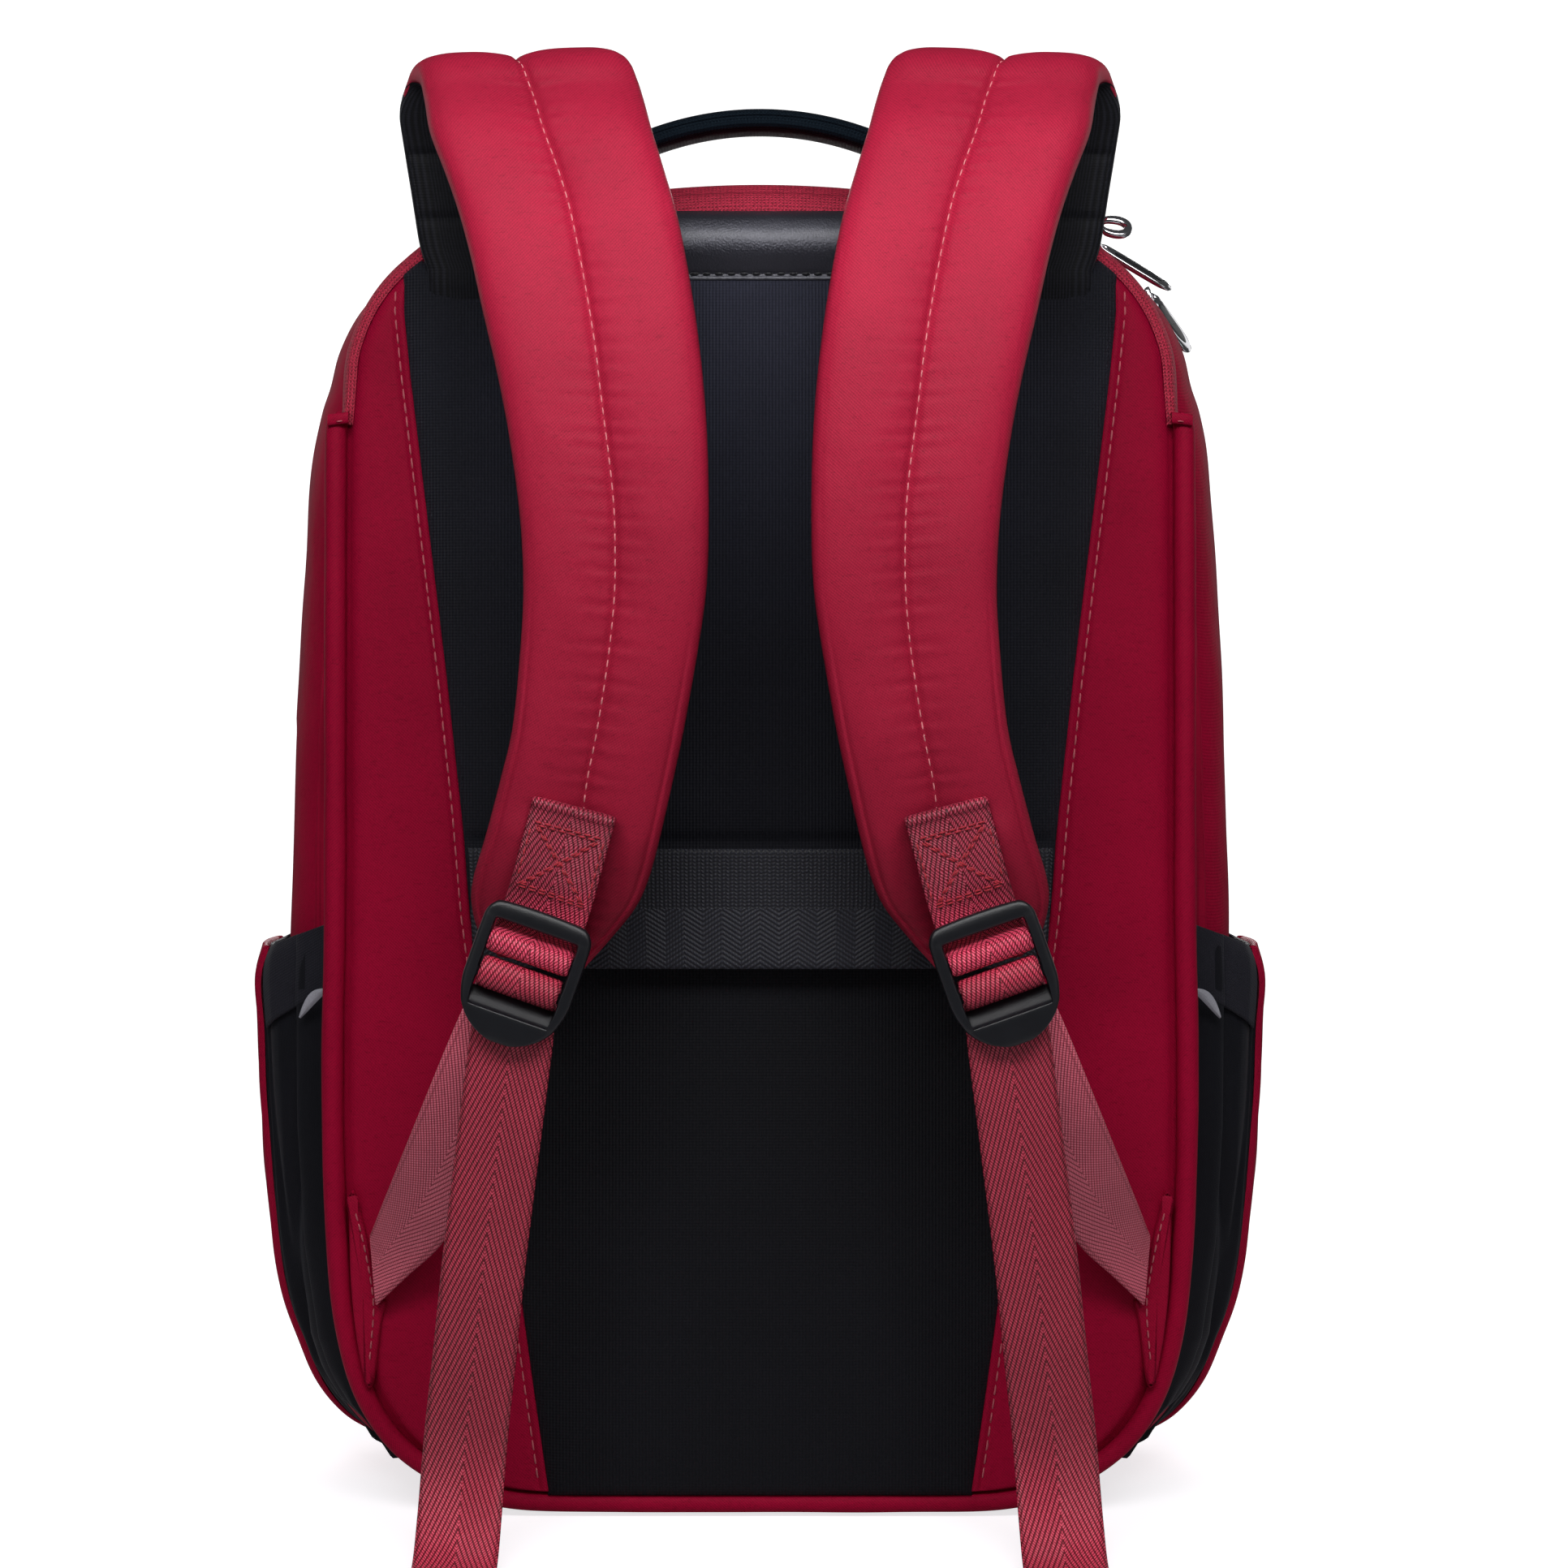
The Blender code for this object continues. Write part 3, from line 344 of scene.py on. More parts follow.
def add_loft(name, rings, material, slot, u=None, v=None, **more):
    """A closed tube of rings (along, round), its ends filled."""
    rings = np.asarray(rings, float)
    n, m = rings.shape[:2]
    quads, corners = grid_cells(n, m, False, True)
    if v is None:
        v = run_of(rings.mean(axis=1))[:, None]
    if u is None:
        around = np.linalg.norm(np.roll(rings, -1, axis=1) - rings, axis=2).mean(axis=0)
        u = np.concatenate([[0], np.cumsum(around)])[None]
    u, v = np.broadcast_to(u, (n, m + 1)), np.broadcast_to(v, (n, m + 1))
    uvs = uvs_at(u, v, corners, u.shape)
    points = rings.reshape(-1, 3)
    middle, normal = faces_of(points, quads)
    flip = np.sum(normal * (middle - rings.mean(axis=1)[corners[:, 0, 0]])) < 0
    points = np.vstack([points, rings[0].mean(axis=0), rings[-1].mean(axis=0)])
    k = np.arange(m)
    k2 = (k + 1) % m
    tris = np.concatenate([np.stack([k2, k, np.full(m, n * m)], 1),
                           np.stack([(n - 1) * m + k, (n - 1) * m + k2, np.full(m, n * m + 1)], 1)])
    near = np.stack([u[0, k + 1], v[0, k]], 1), np.stack([u[0, k], v[0, k]], 1)
    far = np.stack([u[-1, k], v[-1, k]], 1), np.stack([u[-1, k + 1], v[-1, k]], 1)
    tri_uvs = np.concatenate([np.stack([a, b, (a + b) / 2], 1) for a, b in (near, far)])
    if flip:
        quads, uvs, tris, tri_uvs = (part[:, ::-1] for part in (quads, uvs, tris, tri_uvs))
    return add_mesh(name, points, quads, uvs, material, slot, tris=tris, tri_uvs=tri_uvs, **more)


def add_band(name, left, right, thick, material, v0=0.0, **more):
    """Webbing between two edge curves, its edges rounded."""
    mid, wide = (left + right) / 2, right - left
    normal = unit(np.cross(unit(np.gradient(mid, axis=0)), wide))
    width = np.linalg.norm(wide, axis=1)
    inset = 0.5 / width.mean()
    s = inset + (1 - 2 * inset) * np.linspace(0, 1, 18)
    half = thick / 2 * np.sqrt(1 - np.clip(np.abs(2 * s - 1), 0, 1) ** 18)
    flat = mid[:, None] + wide[:, None] * (s - 0.5)[None, :, None]
    rise = normal[:, None] * half[None, :, None]
    rings = np.concatenate([flat + rise, right[:, None], (flat - rise)[:, ::-1], left[:, None]], axis=1)
    u_front = (s - 0.5) * width.mean()
    u = np.concatenate([u_front, [width.mean() / 2], u_front[::-1], [-width.mean() / 2], [u_front[0]]])
    return add_loft(name, rings, material, "red_webbing", u=u[None], v=run_of(rings.mean(axis=1))[:, None] + v0, **more)


def around(a, b, sides):
    """A circle of directions in the plane of two others."""
    w = TURN * np.arange(sides) / sides
    return a[..., None, :] * np.cos(w)[:, None] + b[..., None, :] * np.sin(w)[:, None]


def tube_rings(path, radius, sides):
    along = unit(np.gradient(path, axis=0))
    a = unit(np.cross(along, (0.0, 1.0, 0.0)))
    radius = np.broadcast_to(radius, len(path))[:, None, None]
    return path[:, None] + radius * around(a, np.cross(a, along), sides)


def add_stitches(name, path, facing, material, slot="red_twill", length=3.3, gap=1.1, radius=0.26, lift=0.12,
                 start=0.8):
    """A row of thread stitches along a line on a surface, each dipping into the cloth at its ends."""
    run = run_of(path)
    facing = np.broadcast_to(np.asarray(facing, float), path.shape)
    steps = np.linspace(0, 1, 6)
    where = np.arange(start, run[-1] - length, length + gap)[:, None] + length * steps[None]
    p, f = (np.stack([np.interp(where, run, c) for c in line.T], axis=-1) for line in (path, facing))
    f = unit(f)
    arch = np.sqrt(np.clip(1 - (2 * steps - 1) ** 2, 0, 1))
    p = p + f * (radius * (arch * 1.5 - 0.9) + lift)[None, :, None]
    t = unit(p[:, -1] - p[:, 0])[:, None]
    a = unit(np.cross(t, f))
    thin = radius * (0.55 + 0.45 * arch)
    rings = p[:, :, None] + thin[None, :, None, None] * around(a, np.cross(a, t), 6)
    count, n, m = rings.shape[:3]
    quads, _ = grid_cells(n, m, False, True)
    caps = np.array([[0, 1, 2, 3], [0, 3, 4, 5]])
    caps = np.concatenate([caps, caps[:, ::-1] + (n - 1) * m])
    offsets = (np.arange(count) * n * m)[:, None, None]
    quads = np.concatenate([(part[None] + offsets).reshape(-1, 4) for part in (quads, caps)])
    points = rings.reshape(-1, 3)
    return add_mesh(name, points, quads, points[quads][..., [0, 2]], material, slot)


# --- materials ---------------------------------------------------------------------------------
class Finish:
    """A Principled material and short ways to add nodes to it."""

    def __init__(self, name, roughness=0.6, metallic=0.0, specular=0.5, sheen=0.0, sheen_tint=(1, 1, 1),
                 sheen_roughness=0.4, coat=0.0, coat_roughness=0.2):
        self.made = bpy.data.materials.new(name)
        self.made.use_nodes = True
        self.tree = self.made.node_tree
        self.shader = self.tree.nodes["Principled BSDF"]
        for socket, value in (("Roughness", roughness), ("Metallic", metallic), ("Specular IOR Level", specular),
                              ("Sheen Weight", sheen), ("Sheen Tint", (*sheen_tint, 1)),
                              ("Sheen Roughness", sheen_roughness), ("Coat Weight", coat),
                              ("Coat Roughness", coat_roughness)):
            self.put(socket, value)
        self._uv = self._mm = None

    def feed(self, socket, value):
        if isinstance(value, bpy.types.NodeSocket):
            self.tree.links.new(value, socket)
        else:
            socket.default_value = value

    def put(self, socket, value):
        self.feed(self.shader.inputs[socket], value)

    def node(self, kind, **values):
        made = self.tree.nodes.new(kind)
        for key, value in values.items():
            setattr(made, key, value)
        return made

    def math(self, way, a, b=0.0, c=0.0):
        made = self.node("ShaderNodeMath", operation=way)
        for socket, value in zip(made.inputs, (a, b, c)):
            self.feed(socket, value)
        return made.outputs[0]

    def add(self, a, b):
        return self.math("ADD", a, b)

    def mul(self, a, b):
        return self.math("MULTIPLY", a, b)

    def less(self, a, b):
        return self.math("SUBTRACT", a, b)

    def fit(self, x, factor, plus):
        return self.math("MULTIPLY_ADD", x, factor, plus)

    def wave(self, x, pitch):
        """0 to 1 and back once in each pitch."""
        return self.fit(self.math("SINE", self.fit(x, TURN / pitch, 0.0)), 0.5, 0.5)

    def step(self, x, low, high):
        made = self.node("ShaderNodeMapRange", interpolation_type="SMOOTHSTEP")
        self.feed(made.inputs["Value"], x)
        made.inputs["From Min"].default_value = low
        made.inputs["From Max"].default_value = high
        return made.outputs["Result"]

    def uv(self):
        """Across and along, in millimetres."""
        if self._uv is None:
            split = self.node("ShaderNodeSeparateXYZ")
            self.feed(split.inputs[0], self.node("ShaderNodeUVMap", uv_map="UVMap").outputs["UV"])
            self._uv = split.outputs[0], split.outputs[1]
        return self._uv

    def place(self):
        """The point on the object at rest, in millimetres."""
        if self._mm is None:
            scale = self.node("ShaderNodeVectorMath", operation="SCALE")
            self.feed(scale.inputs[0], self.node("ShaderNodeTexCoord").outputs["Object"])
            scale.inputs["Scale"].default_value = 1 / MM
            self._mm = scale.outputs[0]
        return self._mm

    def noise(self, size, detail=2.0, rough=0.5, stretch=None):
        made = self.node("ShaderNodeTexNoise")
        where = self.place()
        if stretch:
            mapped = self.node("ShaderNodeVectorMath", operation="MULTIPLY")
            self.feed(mapped.inputs[0], where)
            mapped.inputs[1].default_value = stretch
            where = mapped.outputs[0]
        for socket, value in (("Vector", where), ("Scale", 1.0 / size), ("Detail", detail), ("Roughness", rough)):
            self.feed(made.inputs[socket], value)
        return made.outputs[0]

    def cells(self, size):
        made = self.node("ShaderNodeTexVoronoi", feature="F1")
        self.feed(made.inputs["Vector"], self.place())
        made.inputs["Scale"].default_value = 1.0 / size
        return made.outputs["Distance"]

    def painted_shading(self, pairs, across=False):
        """A factor of painted light and shade that changes up the object, or out from its middle, from (millimetres,
        factor) pairs.
        """
        split = self.node("ShaderNodeSeparateXYZ")
        self.feed(split.inputs[0], self.place())
        where = self.math("ABSOLUTE", split.outputs[0]) if across else split.outputs[2]
        total = pairs[0][1]
        for (z0, a), (z1, b) in zip(pairs[:-1], pairs[1:]):
            total = self.fit(self.step(where, z0, z1), b - a, total)
        return total

    def mix(self, factor, a, b):
        made = self.node("ShaderNodeMix", data_type="RGBA")
        self.feed(made.inputs["Factor"], factor)
        for socket, value in ((made.inputs[6], a), (made.inputs[7], b)):
            self.feed(socket, value if isinstance(value, bpy.types.NodeSocket) else (*value, 1))
        return made.outputs[2]

    def paint(self, colour, factor):
        """The base colour, made lighter or darker by a factor that varies over the surface."""
        made = self.node("ShaderNodeVectorMath", operation="SCALE")
        self.feed(made.inputs[0], colour)
        self.feed(made.inputs["Scale"], factor)
        self.put("Base Color", made.outputs[0])

    def bump(self, height, depth, under=None):
        made = self.node("ShaderNodeBump")
        made.inputs["Strength"].default_value = 1.0
        made.inputs["Distance"].default_value = depth * MM
        self.feed(made.inputs["Height"], height)
        if under is not None:
            self.feed(made.inputs["Normal"], under)
        self.put("Normal", made.outputs[0])
        return made.outputs[0]


def cloth(name, colour, specular=0.05, fade=None):
    """Fine satin-faced twill: close diagonal ribs, short slubs and slow colour changes. A fade, if given, scales the
    colour by height as painted light and shade.
    """
    f = Finish(name, roughness=0.55, specular=specular)
    weave = 0.92
    u, v = f.uv()
    fine = f.wave(f.add(f.mul(u, 0.9), v), weave)
    cross = f.wave(f.add(u, f.mul(v, -0.5)), weave * 0.9)
    thread = f.fit(fine, 0.7, f.mul(cross, 0.3))
    speck = f.noise(0.5, 3, 0.65)
    slub = f.step(f.noise(1.4, 2, 0.6, stretch=(0.4, 1.6, 1.6)), 0.56, 0.74)
    slow = f.noise(28, 3)
    tone = f.add(f.mul(thread, 0.40), f.add(f.mul(speck, 0.80), f.mul(slow, 0.30)))
    tone = f.less(f.add(tone, 0.29), f.mul(slub, 0.18))
    # painted light and shade: the colour is scaled by height
    if fade:
        tone = f.mul(tone, f.painted_shading(fade))
    f.paint(colour, tone)
    f.put("Roughness", f.fit(speck, 0.14, 0.48))
    puckers = f.bump(f.noise(7, 3, stretch=(1, 1, 0.7)), 0.42)
    f.bump(f.add(f.mul(thread, 0.6), f.mul(speck, 0.6)), 0.08, under=puckers)
    return f.made


def webbing(name, dark, mid, light, fade, pitch=3.8, slope=2.55, deep=0.3, pull=0.0):
    """Herringbone webbing: twisted yarns lean away from a middle line, with a dark line by each edge. Light yarn dashes
    are painted highlights, and the colour is scaled by height as painted light and shade.
    """
    f = Finish(name, roughness=0.4, specular=0.4)
    u, v = f.uv()
    if pull:
        v = f.fit(f.noise(5, 2), pull, v)
    across = f.math("ABSOLUTE", u)
    line = f.wave(f.fit(across, -slope, v), pitch)
    twist = f.wave(f.fit(across, 1.1, v), 1.05)
    glint_and_roughness_speck = f.noise(0.5, 3, 0.7)
    high = f.step(f.fit(twist, 0.15, line), 0.08, 0.50)
    edge = f.mul(f.step(across, 11.1, 11.6), f.less(1.0, f.step(across, 11.8, 12.2)))
    slow = f.noise(16, 2)
    # painted highlight: yarn dashes picked out by the speck noise take the light colour as glints
    glint = f.step(f.fit(twist, 0.55, f.mul(glint_and_roughness_speck, 0.6)), 0.45, 0.85)
    tone = f.mix(high, dark, f.mix(glint, mid, light))
    tone = f.mix(f.mul(edge, f.fit(twist, -0.5, 0.8)), tone, dark)
    # the height factor is painted light and shade
    f.paint(tone, f.mul(f.fit(slow, 0.34, 0.82), f.painted_shading(fade)))
    f.put("Roughness", f.fit(glint_and_roughness_speck, 0.2, 0.3))
    f.bump(f.add(f.mul(high, 0.8), f.mul(twist, 0.35)), deep)
    return f.made


def tape(name, colour):
    """Zip tape: a close, grainy knitted face."""
    f = Finish(name, roughness=0.55, specular=0.2)
    u, v = f.uv()
    rib = f.wave(f.fit(f.noise(2.0, 2), 0.6, u), 1.25)
    knit = f.wave(f.add(v, f.mul(f.math("PINGPONG", u, 0.625), 1.4)), 1.2)
    speck = f.noise(0.8, 3, 0.75)
    high = f.fit(rib, 0.28, f.fit(knit, 0.34, f.mul(speck, 0.9)))
    f.paint(colour, f.fit(f.step(high, 0.40, 1.0), 1.05, 0.36))
    f.bump(high, 0.42)
    return f.made


def ribbed_mesh(name, low, high, pitch, deep=0.34, fade=None, strap_shadow=None):
    """Spacer mesh: upright ribs with a row of small holes between them. A fade, if given, lightens the colour up the
    pad as painted light, less towards its sides under a painted strap shadow.
    """
    f = Finish(name, roughness=0.7, specular=0.2, sheen=0.03, sheen_tint=(0.7, 0.75, 1.0), sheen_roughness=0.5)
    u, v = f.uv()
    rib = f.wave(u, pitch)
    hole = f.wave(v, pitch * 0.9)
    ridge = f.fit(rib, 0.75, f.mul(hole, 0.25))
    speck = f.noise(0.6, 2, 0.7)
    slow = f.noise(26, 2)
    shade = f.fit(slow, 0.4, f.fit(speck, 0.5, 0.55))
    # painted light and shadow: lighter towards the top, and darker beside the straps where their shadow falls
    if fade:
        side = f.painted_shading([(62, 0.0), (98, 1.0)], across=True)
        shade = f.mul(shade, f.less(f.painted_shading(fade), f.mul(side, f.painted_shading(strap_shadow))))
    f.paint(f.mix(f.step(ridge, 0.25, 0.9), low, high), shade)
    f.bump(ridge, deep)
    return f.made


def black_cloth(name, colour, rib=0.55, deep=0.07, tint=(1.0, 1.0, 1.0)):
    f = Finish(name, roughness=0.66, specular=0.18, sheen=0.02, sheen_tint=(0.75, 0.78, 1.0))
    f.put("Specular Tint", (*tint, 1.0))
    u, v = f.uv()
    plain = f.mul(f.wave(u, rib), f.wave(v, rib))
    speck = f.noise(0.5, 3, 0.7)
    slow = f.noise(20, 2)
    f.paint(colour, f.fit(speck, 0.6, f.fit(slow, 0.4, 0.5)))
    soft = f.bump(f.noise(8, 2), 0.2)
    f.bump(f.add(plain, f.mul(speck, 0.5)), deep, under=soft)
    return f.made


def trolley_weave(name, low, top):
    """Broad black webbing, its upper half in a dotted plain weave and its lower half in small chevrons."""
    f = Finish(name, roughness=0.5, specular=0.3, sheen=0.02, sheen_tint=(0.7, 0.75, 1.0))
    u, v = f.uv()
    dots = f.mul(f.wave(u, 1.3), f.wave(f.add(v, f.mul(f.wave(u, 2.6), 0.35)), 1.15))
    zig = f.math("PINGPONG", u, 6.0)
    chevron = f.wave(f.add(f.mul(zig, 0.62), v), 1.5)
    chevron = f.mul(chevron, f.fit(f.wave(u, 0.95), 0.5, 0.5))
    upper = f.step(v, -0.3, 0.3)
    high = f.add(f.mul(dots, upper), f.mul(chevron, f.less(1.0, upper)))
    speck = f.noise(0.6, 2, 0.6)
    f.paint(f.mix(f.step(high, 0.1, 0.85), low, top), f.fit(speck, 0.5, 0.7))
    f.bump(high, 0.3)
    return f.made


def leather(name, colour):
    f = Finish(name, roughness=0.4, specular=0.9, coat=0.4, coat_roughness=0.34)
    grain = f.fit(f.cells(0.75), 0.45, f.mul(f.noise(0.55, 4, 0.7), 0.8))
    slow = f.noise(11, 3)
    f.paint(colour, f.fit(grain, 0.6, f.fit(slow, 0.5, 0.4)))
    f.put("Specular Tint", (0.86, 0.86, 1.0, 1.0))
    f.put("Roughness", f.fit(grain, 0.24, 0.26))
    f.bump(grain, 0.23)
    return f.made


def plastic(name):
    f = Finish(name, roughness=0.42, specular=0.42)
    spark = f.noise(0.28, 3, 0.7)
    f.paint((0.0072, 0.0078, 0.0105), f.fit(f.noise(7, 2), 0.5, 0.75))
    f.put("Roughness", f.fit(spark, 0.2, 0.24))
    f.bump(spark, 0.05)
    return f.made


def metal(name, colour):
    f = Finish(name, roughness=0.14, metallic=1.0)
    brushed = f.noise(1.2, 3, 0.6)
    f.paint(colour, f.fit(brushed, 0.12, 0.92))
    f.put("Roughness", f.fit(brushed, 0.12, 0.10))
    return f.made


def thread(name, colour):
    f = Finish(name, roughness=0.5, specular=0.4, sheen=0.3)
    twist = f.noise(0.35, 2, 0.7)
    f.paint(colour, f.fit(twist, 0.6, 0.68))
    f.bump(twist, 0.08)
    return f.made


def board(name, colour):
    f = Finish(name, roughness=0.7)
    speck = f.noise(0.9, 3, 0.6)
    f.paint(colour, f.fit(speck, 0.4, 0.8))
    f.bump(speck, 0.08)
    return f.made


# One red twill in three copies: the panel and body have a darker colour than the strap as painted shade, and the fades
# are painted light and shade by height, the strap darker towards its foot and the panel darker towards its top.
RED_STRAP = cloth("red_twill_strap", (0.46, 0.0135, 0.050), specular=0.14,
                  fade=[(190, 0.45), (232, 0.66), (272, 0.71), (297, 0.70), (346, 0.82), (398, 0.93),
                        (423, 0.86), (443, 0.72)])
RED_PANEL = cloth("red_twill_panel", (0.315, 0.0030, 0.029),
                  fade=[(60, 1.0), (120, 0.97), (190, 0.87), (250, 0.79), (400, 0.79)])
RED_BODY = cloth("red_twill_body", (0.32, 0.0040, 0.030))
# One webbing in three copies: the sewn end is a darker copy as painted shade and the lower webbing a lighter copy as
# painted light; the fades are painted light by height, brightest at the tail's lying end, round the buckle and on the
# sewn end's top fold.
WEBBING = webbing("red_webbing", (0.110, 0.0030, 0.010), (0.34, 0.012, 0.036), (0.70, 0.080, 0.14),
                  fade=[(10, 1.45), (42, 0.84), (110, 0.95), (165, 1.0), (185, 1.35)])
WEBBING_SEWN = webbing("red_webbing_sewn", (0.088, 0.0030, 0.009), (0.24, 0.009, 0.026), (0.58, 0.07, 0.13),
                       fade=[(170, 2.1), (191, 2.0), (203, 1.0), (226, 0.95), (229, 1.5), (232, 3.2)], pull=2.4)
WEBBING_UNDER = webbing("red_webbing_under", (0.28, 0.026, 0.048), (0.62, 0.088, 0.14), (0.84, 0.22, 0.30),
                        fade=[(75, 1.05), (95, 0.85), (120, 0.95), (160, 1.35)], pitch=2.6, slope=2.2, deep=0.2)
TAPE = tape("red_zip_tape", (0.37, 0.020, 0.048))
# The mesh is painted lighter towards the top as painted light, and less so beside the straps as a painted strap shadow.
MESH = ribbed_mesh("black_mesh", (0.0034, 0.0036, 0.0060), (0.0058, 0.0061, 0.0102), pitch=1.05,
                   fade=[(60, 0.80), (150, 0.62), (240, 1.4), (390, 4.8)],
                   strap_shadow=[(230, 0.0), (262, 0.35), (300, 1.35), (345, 2.35), (390, 3.3)])
LINING_MESH = ribbed_mesh("strap_lining_mesh", (0.0025, 0.0026, 0.0038), (0.0105, 0.011, 0.016), pitch=1.0,
                          deep=0.2)
BAND = trolley_weave("black_band", (0.0085, 0.0085, 0.0125), (0.030, 0.031, 0.044))
BLACK = black_cloth("black_fabric", (0.0050, 0.0052, 0.0085))
ELASTIC = black_cloth("black_elastic", (0.0175, 0.017, 0.024), rib=0.9, deep=0.14)
HANDLE_CLOTH = black_cloth("black_handle_webbing", (0.0022, 0.0034, 0.0062), rib=1.1, deep=0.3,
                           tint=(0.45, 0.75, 1.0))
LEATHER = leather("black_leather", (0.012, 0.012, 0.018))
PLASTIC = plastic("black_plastic")
CHROME = metal("chrome", (0.62, 0.61, 0.64))
DARK_INSERT = plastic("black_enamel")
PALE_THREAD = thread("pale_thread", (0.74, 0.26, 0.28))
PANEL_THREAD = thread("panel_thread", (0.52, 0.10, 0.13))
BOX_THREAD = thread("box_thread", (0.42, 0.012, 0.030))
BLACK_THREAD = thread("black_thread", (0.010, 0.010, 0.014))
LINING = black_cloth("grey_lining", (0.42, 0.42, 0.47), rib=0.8)
BOARD = board("grey_board", (0.12, 0.12, 0.13))

# inner pieces that stay as they are get their finish
for word, finish in (("frame_sheet", BOARD), ("base_board", BOARD), ("laptop_divider", RED_BODY),
                     ("organiser_wall", LINING), ("organiser_pocket", LINING), ("laptop_sleeve", LINING)):
    inner_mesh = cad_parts[word].data
    inner_mesh.materials.clear()
    inner_mesh.materials.append(finish)
    if not inner_mesh.uv_layers:
        inner_mesh.uv_layers.new(name="UVMap")

# --- camera ------------------------------------------------------------------------------------
camera = bpy.data.objects.new("camera", bpy.data.cameras.new("camera"))
bpy.context.scene.collection.objects.link(camera)
camera.location = (0.0, -0.900 + Y0, 0.250)
camera.rotation_euler = (math.radians(90), 0, 0)
camera.data.sensor_width = 36.0
camera.data.lens = 65.4
camera.data.shift_x = 0.01527
camera.data.shift_y = -0.0378
camera.data.clip_start = 0.01
camera.data.clip_end = 60.0
bpy.context.scene.camera = camera

# --- free ends of the webbing ------------------------------------------------------------------
tail_mid = catmull(TAIL_ROUTE, 130)
tail_run = run_of(tail_mid)
tail_share = tail_run / tail_run[-1]
tilt = np.radians(at([(0, 19.5), (0.12, 9), (0.5, 5), (0.62, 1), (1, 2)], tail_share))
lying = smooth(tail_mid[:, 2], 4, 14)
wide = xyz(np.cos(tilt), 0, -np.sin(tilt) * lying) * (WEBBING_WIDTH / 2)
for side, word in SIDES:
    left, right = flipped(tail_mid - wide, side), flipped(tail_mid + wide, side)
    tail = add_band("webbing_tail_" + word, left, right, 1.4, WEBBING, v0=-40.0, replaces="webbing_tail_" + word)
    path = flipped(tail_mid, side) * MM + (0, Y0, 0)

# --- back panel --------------------------------------------------------------------------------
def pad_half(z):
    return at(PAD_SIDE, z)


seam = ring_at(REAR, 0, panel_inset(REAR[:, 1]))[:, [0, 2]]
inner_z = np.clip(seam[:, 1], PAD_LOW, PAD_HIGH)
inner = np.stack([np.clip(seam[:, 0], -pad_half(inner_z), pad_half(inner_z)), inner_z], axis=1)
gap_to = np.linalg.norm(inner - seam, axis=1)
rows = []
t_values = np.concatenate([np.linspace(0, 0.16, 9)[:-1], np.linspace(0.16, 0.8, 17), np.linspace(0.8, 1.0, 16)[1:]])
for t in t_values:
    p = seam + (inner - seam) * t
    d_out, d_in = gap_to * t, gap_to * (1 - t)
    wide_here = smooth(gap_to, 2, 16)
    high = -1.9 + 3.3 * (1 - np.exp(-d_out / 2.0))
    high = high + 0.5 * smooth(d_out, 2, 30) * smooth(d_in, 4, 26)
    high = high - 0.85 * peak(d_in - 3.0, 1.1) * wide_here - 0.8 * np.exp(-d_in / 0.5)
    row = xyz(p[:, 0], -high, p[:, 1])
    row[:, 1] -= 0.22 * ripple(row, 46, 3) * smooth(d_out, 3, 14) * smooth(d_in, 3, 10)
    row[:, 1] -= 0.10 * np.sin(p[:, 1] * TURN / 4.4) * peak(d_in - 4.5, 2.2) * wide_here
    rows.append(row)
rows.append(rows[-1] + np.array((0, 1.6, 0)))
under_roll = seam + normals_2d(seam) * 2.6
rows.insert(0, xyz(under_roll[:, 0], 3.0, np.maximum(under_roll[:, 1], 2.0)))
panel = np.stack(rows, axis=1)
add_grid("back_panel_cover", panel, RED_PANEL, "red_twill", (0, -1, 0), replaces="back_panel", **flat_uv(panel))

# topstitching just outside the mesh
line_z = np.linspace(387.5, 9, 300)
for side, word in SIDES:
    path = xyz((pad_half(line_z) + 3.0) * side, -0.62, line_z)
    add_stitches("panel_stitches_" + word, path, (0, -1, 0), PANEL_THREAD)

# --- mesh pad ----------------------------------------------------------------------------------
PAD_SEAM = 213.4
edge_ring = ring_at(REAR, 0, panel_inset(REAR[:, 1]))
right_half = edge_ring[(edge_ring[:, 0] > 0) & (edge_ring[:, 2] > 300)]
right_half = right_half[np.argsort(right_half[:, 2])]
z_rows = np.concatenate([PAD_LOW + np.array([0, 0.5, 1.1, 2, 3.2, 4.8, 7]), np.linspace(18, 384, 212),
                         PAD_TOP - np.array([10.5, 8.5, 7, 5.6, 4.4, 3.2, 2, 1.1, 0.5, 0])])
edge_steps = np.array([0, 0.5, 1.1, 2, 3.2, 4.8, 7, 9.5, 12.5, 16, 20, 25])
pad_grid = []
for z in z_rows:
    half = float(pad_half(z)) + 0.6
    if z > 350:
        half = min(half, float(np.interp(z, right_half[:, 2], right_half[:, 0])) - 0.6)
    xs = np.concatenate([-half + edge_steps, np.linspace(-half + 30, half - 30, 60), (half - edge_steps)[::-1]])
    d_side = half - np.abs(xs)
    d = np.minimum(d_side, min(z - PAD_LOW, PAD_TOP - z))
    high = 0.1 + 2.3 * (1 - np.exp(-d / 1.3)) + 3.6 * (1 - np.exp(-d / 11.0)) ** 1.2
    beside = smooth(np.abs(xs), 36.5, 41.0)
    high = np.minimum(high, 1.9 + 0.5 * max(391.5 - z, 0.0) + 9.0 * beside)
    high = high - 1.3 * peak(z - PAD_SEAM, 1.3) * smooth(d_side, 0, 6)
    high = high - 0.55 * np.exp(-np.abs(z - PAD_SEAM) / 7.0)
    row = xyz(xs, -high, z)
    row[:, 1] -= 0.16 * ripple(row, 60, 5) * smooth(d, 4, 18)
    pad_grid.append(row)
pad_grid = np.array(pad_grid)
pad = add_grid("mesh_pad_cover", pad_grid, MESH, "black_mesh", (0, -1, 0), u=pad_grid[..., 0], v=pad_grid[..., 2],
               replaces="mesh_pad")

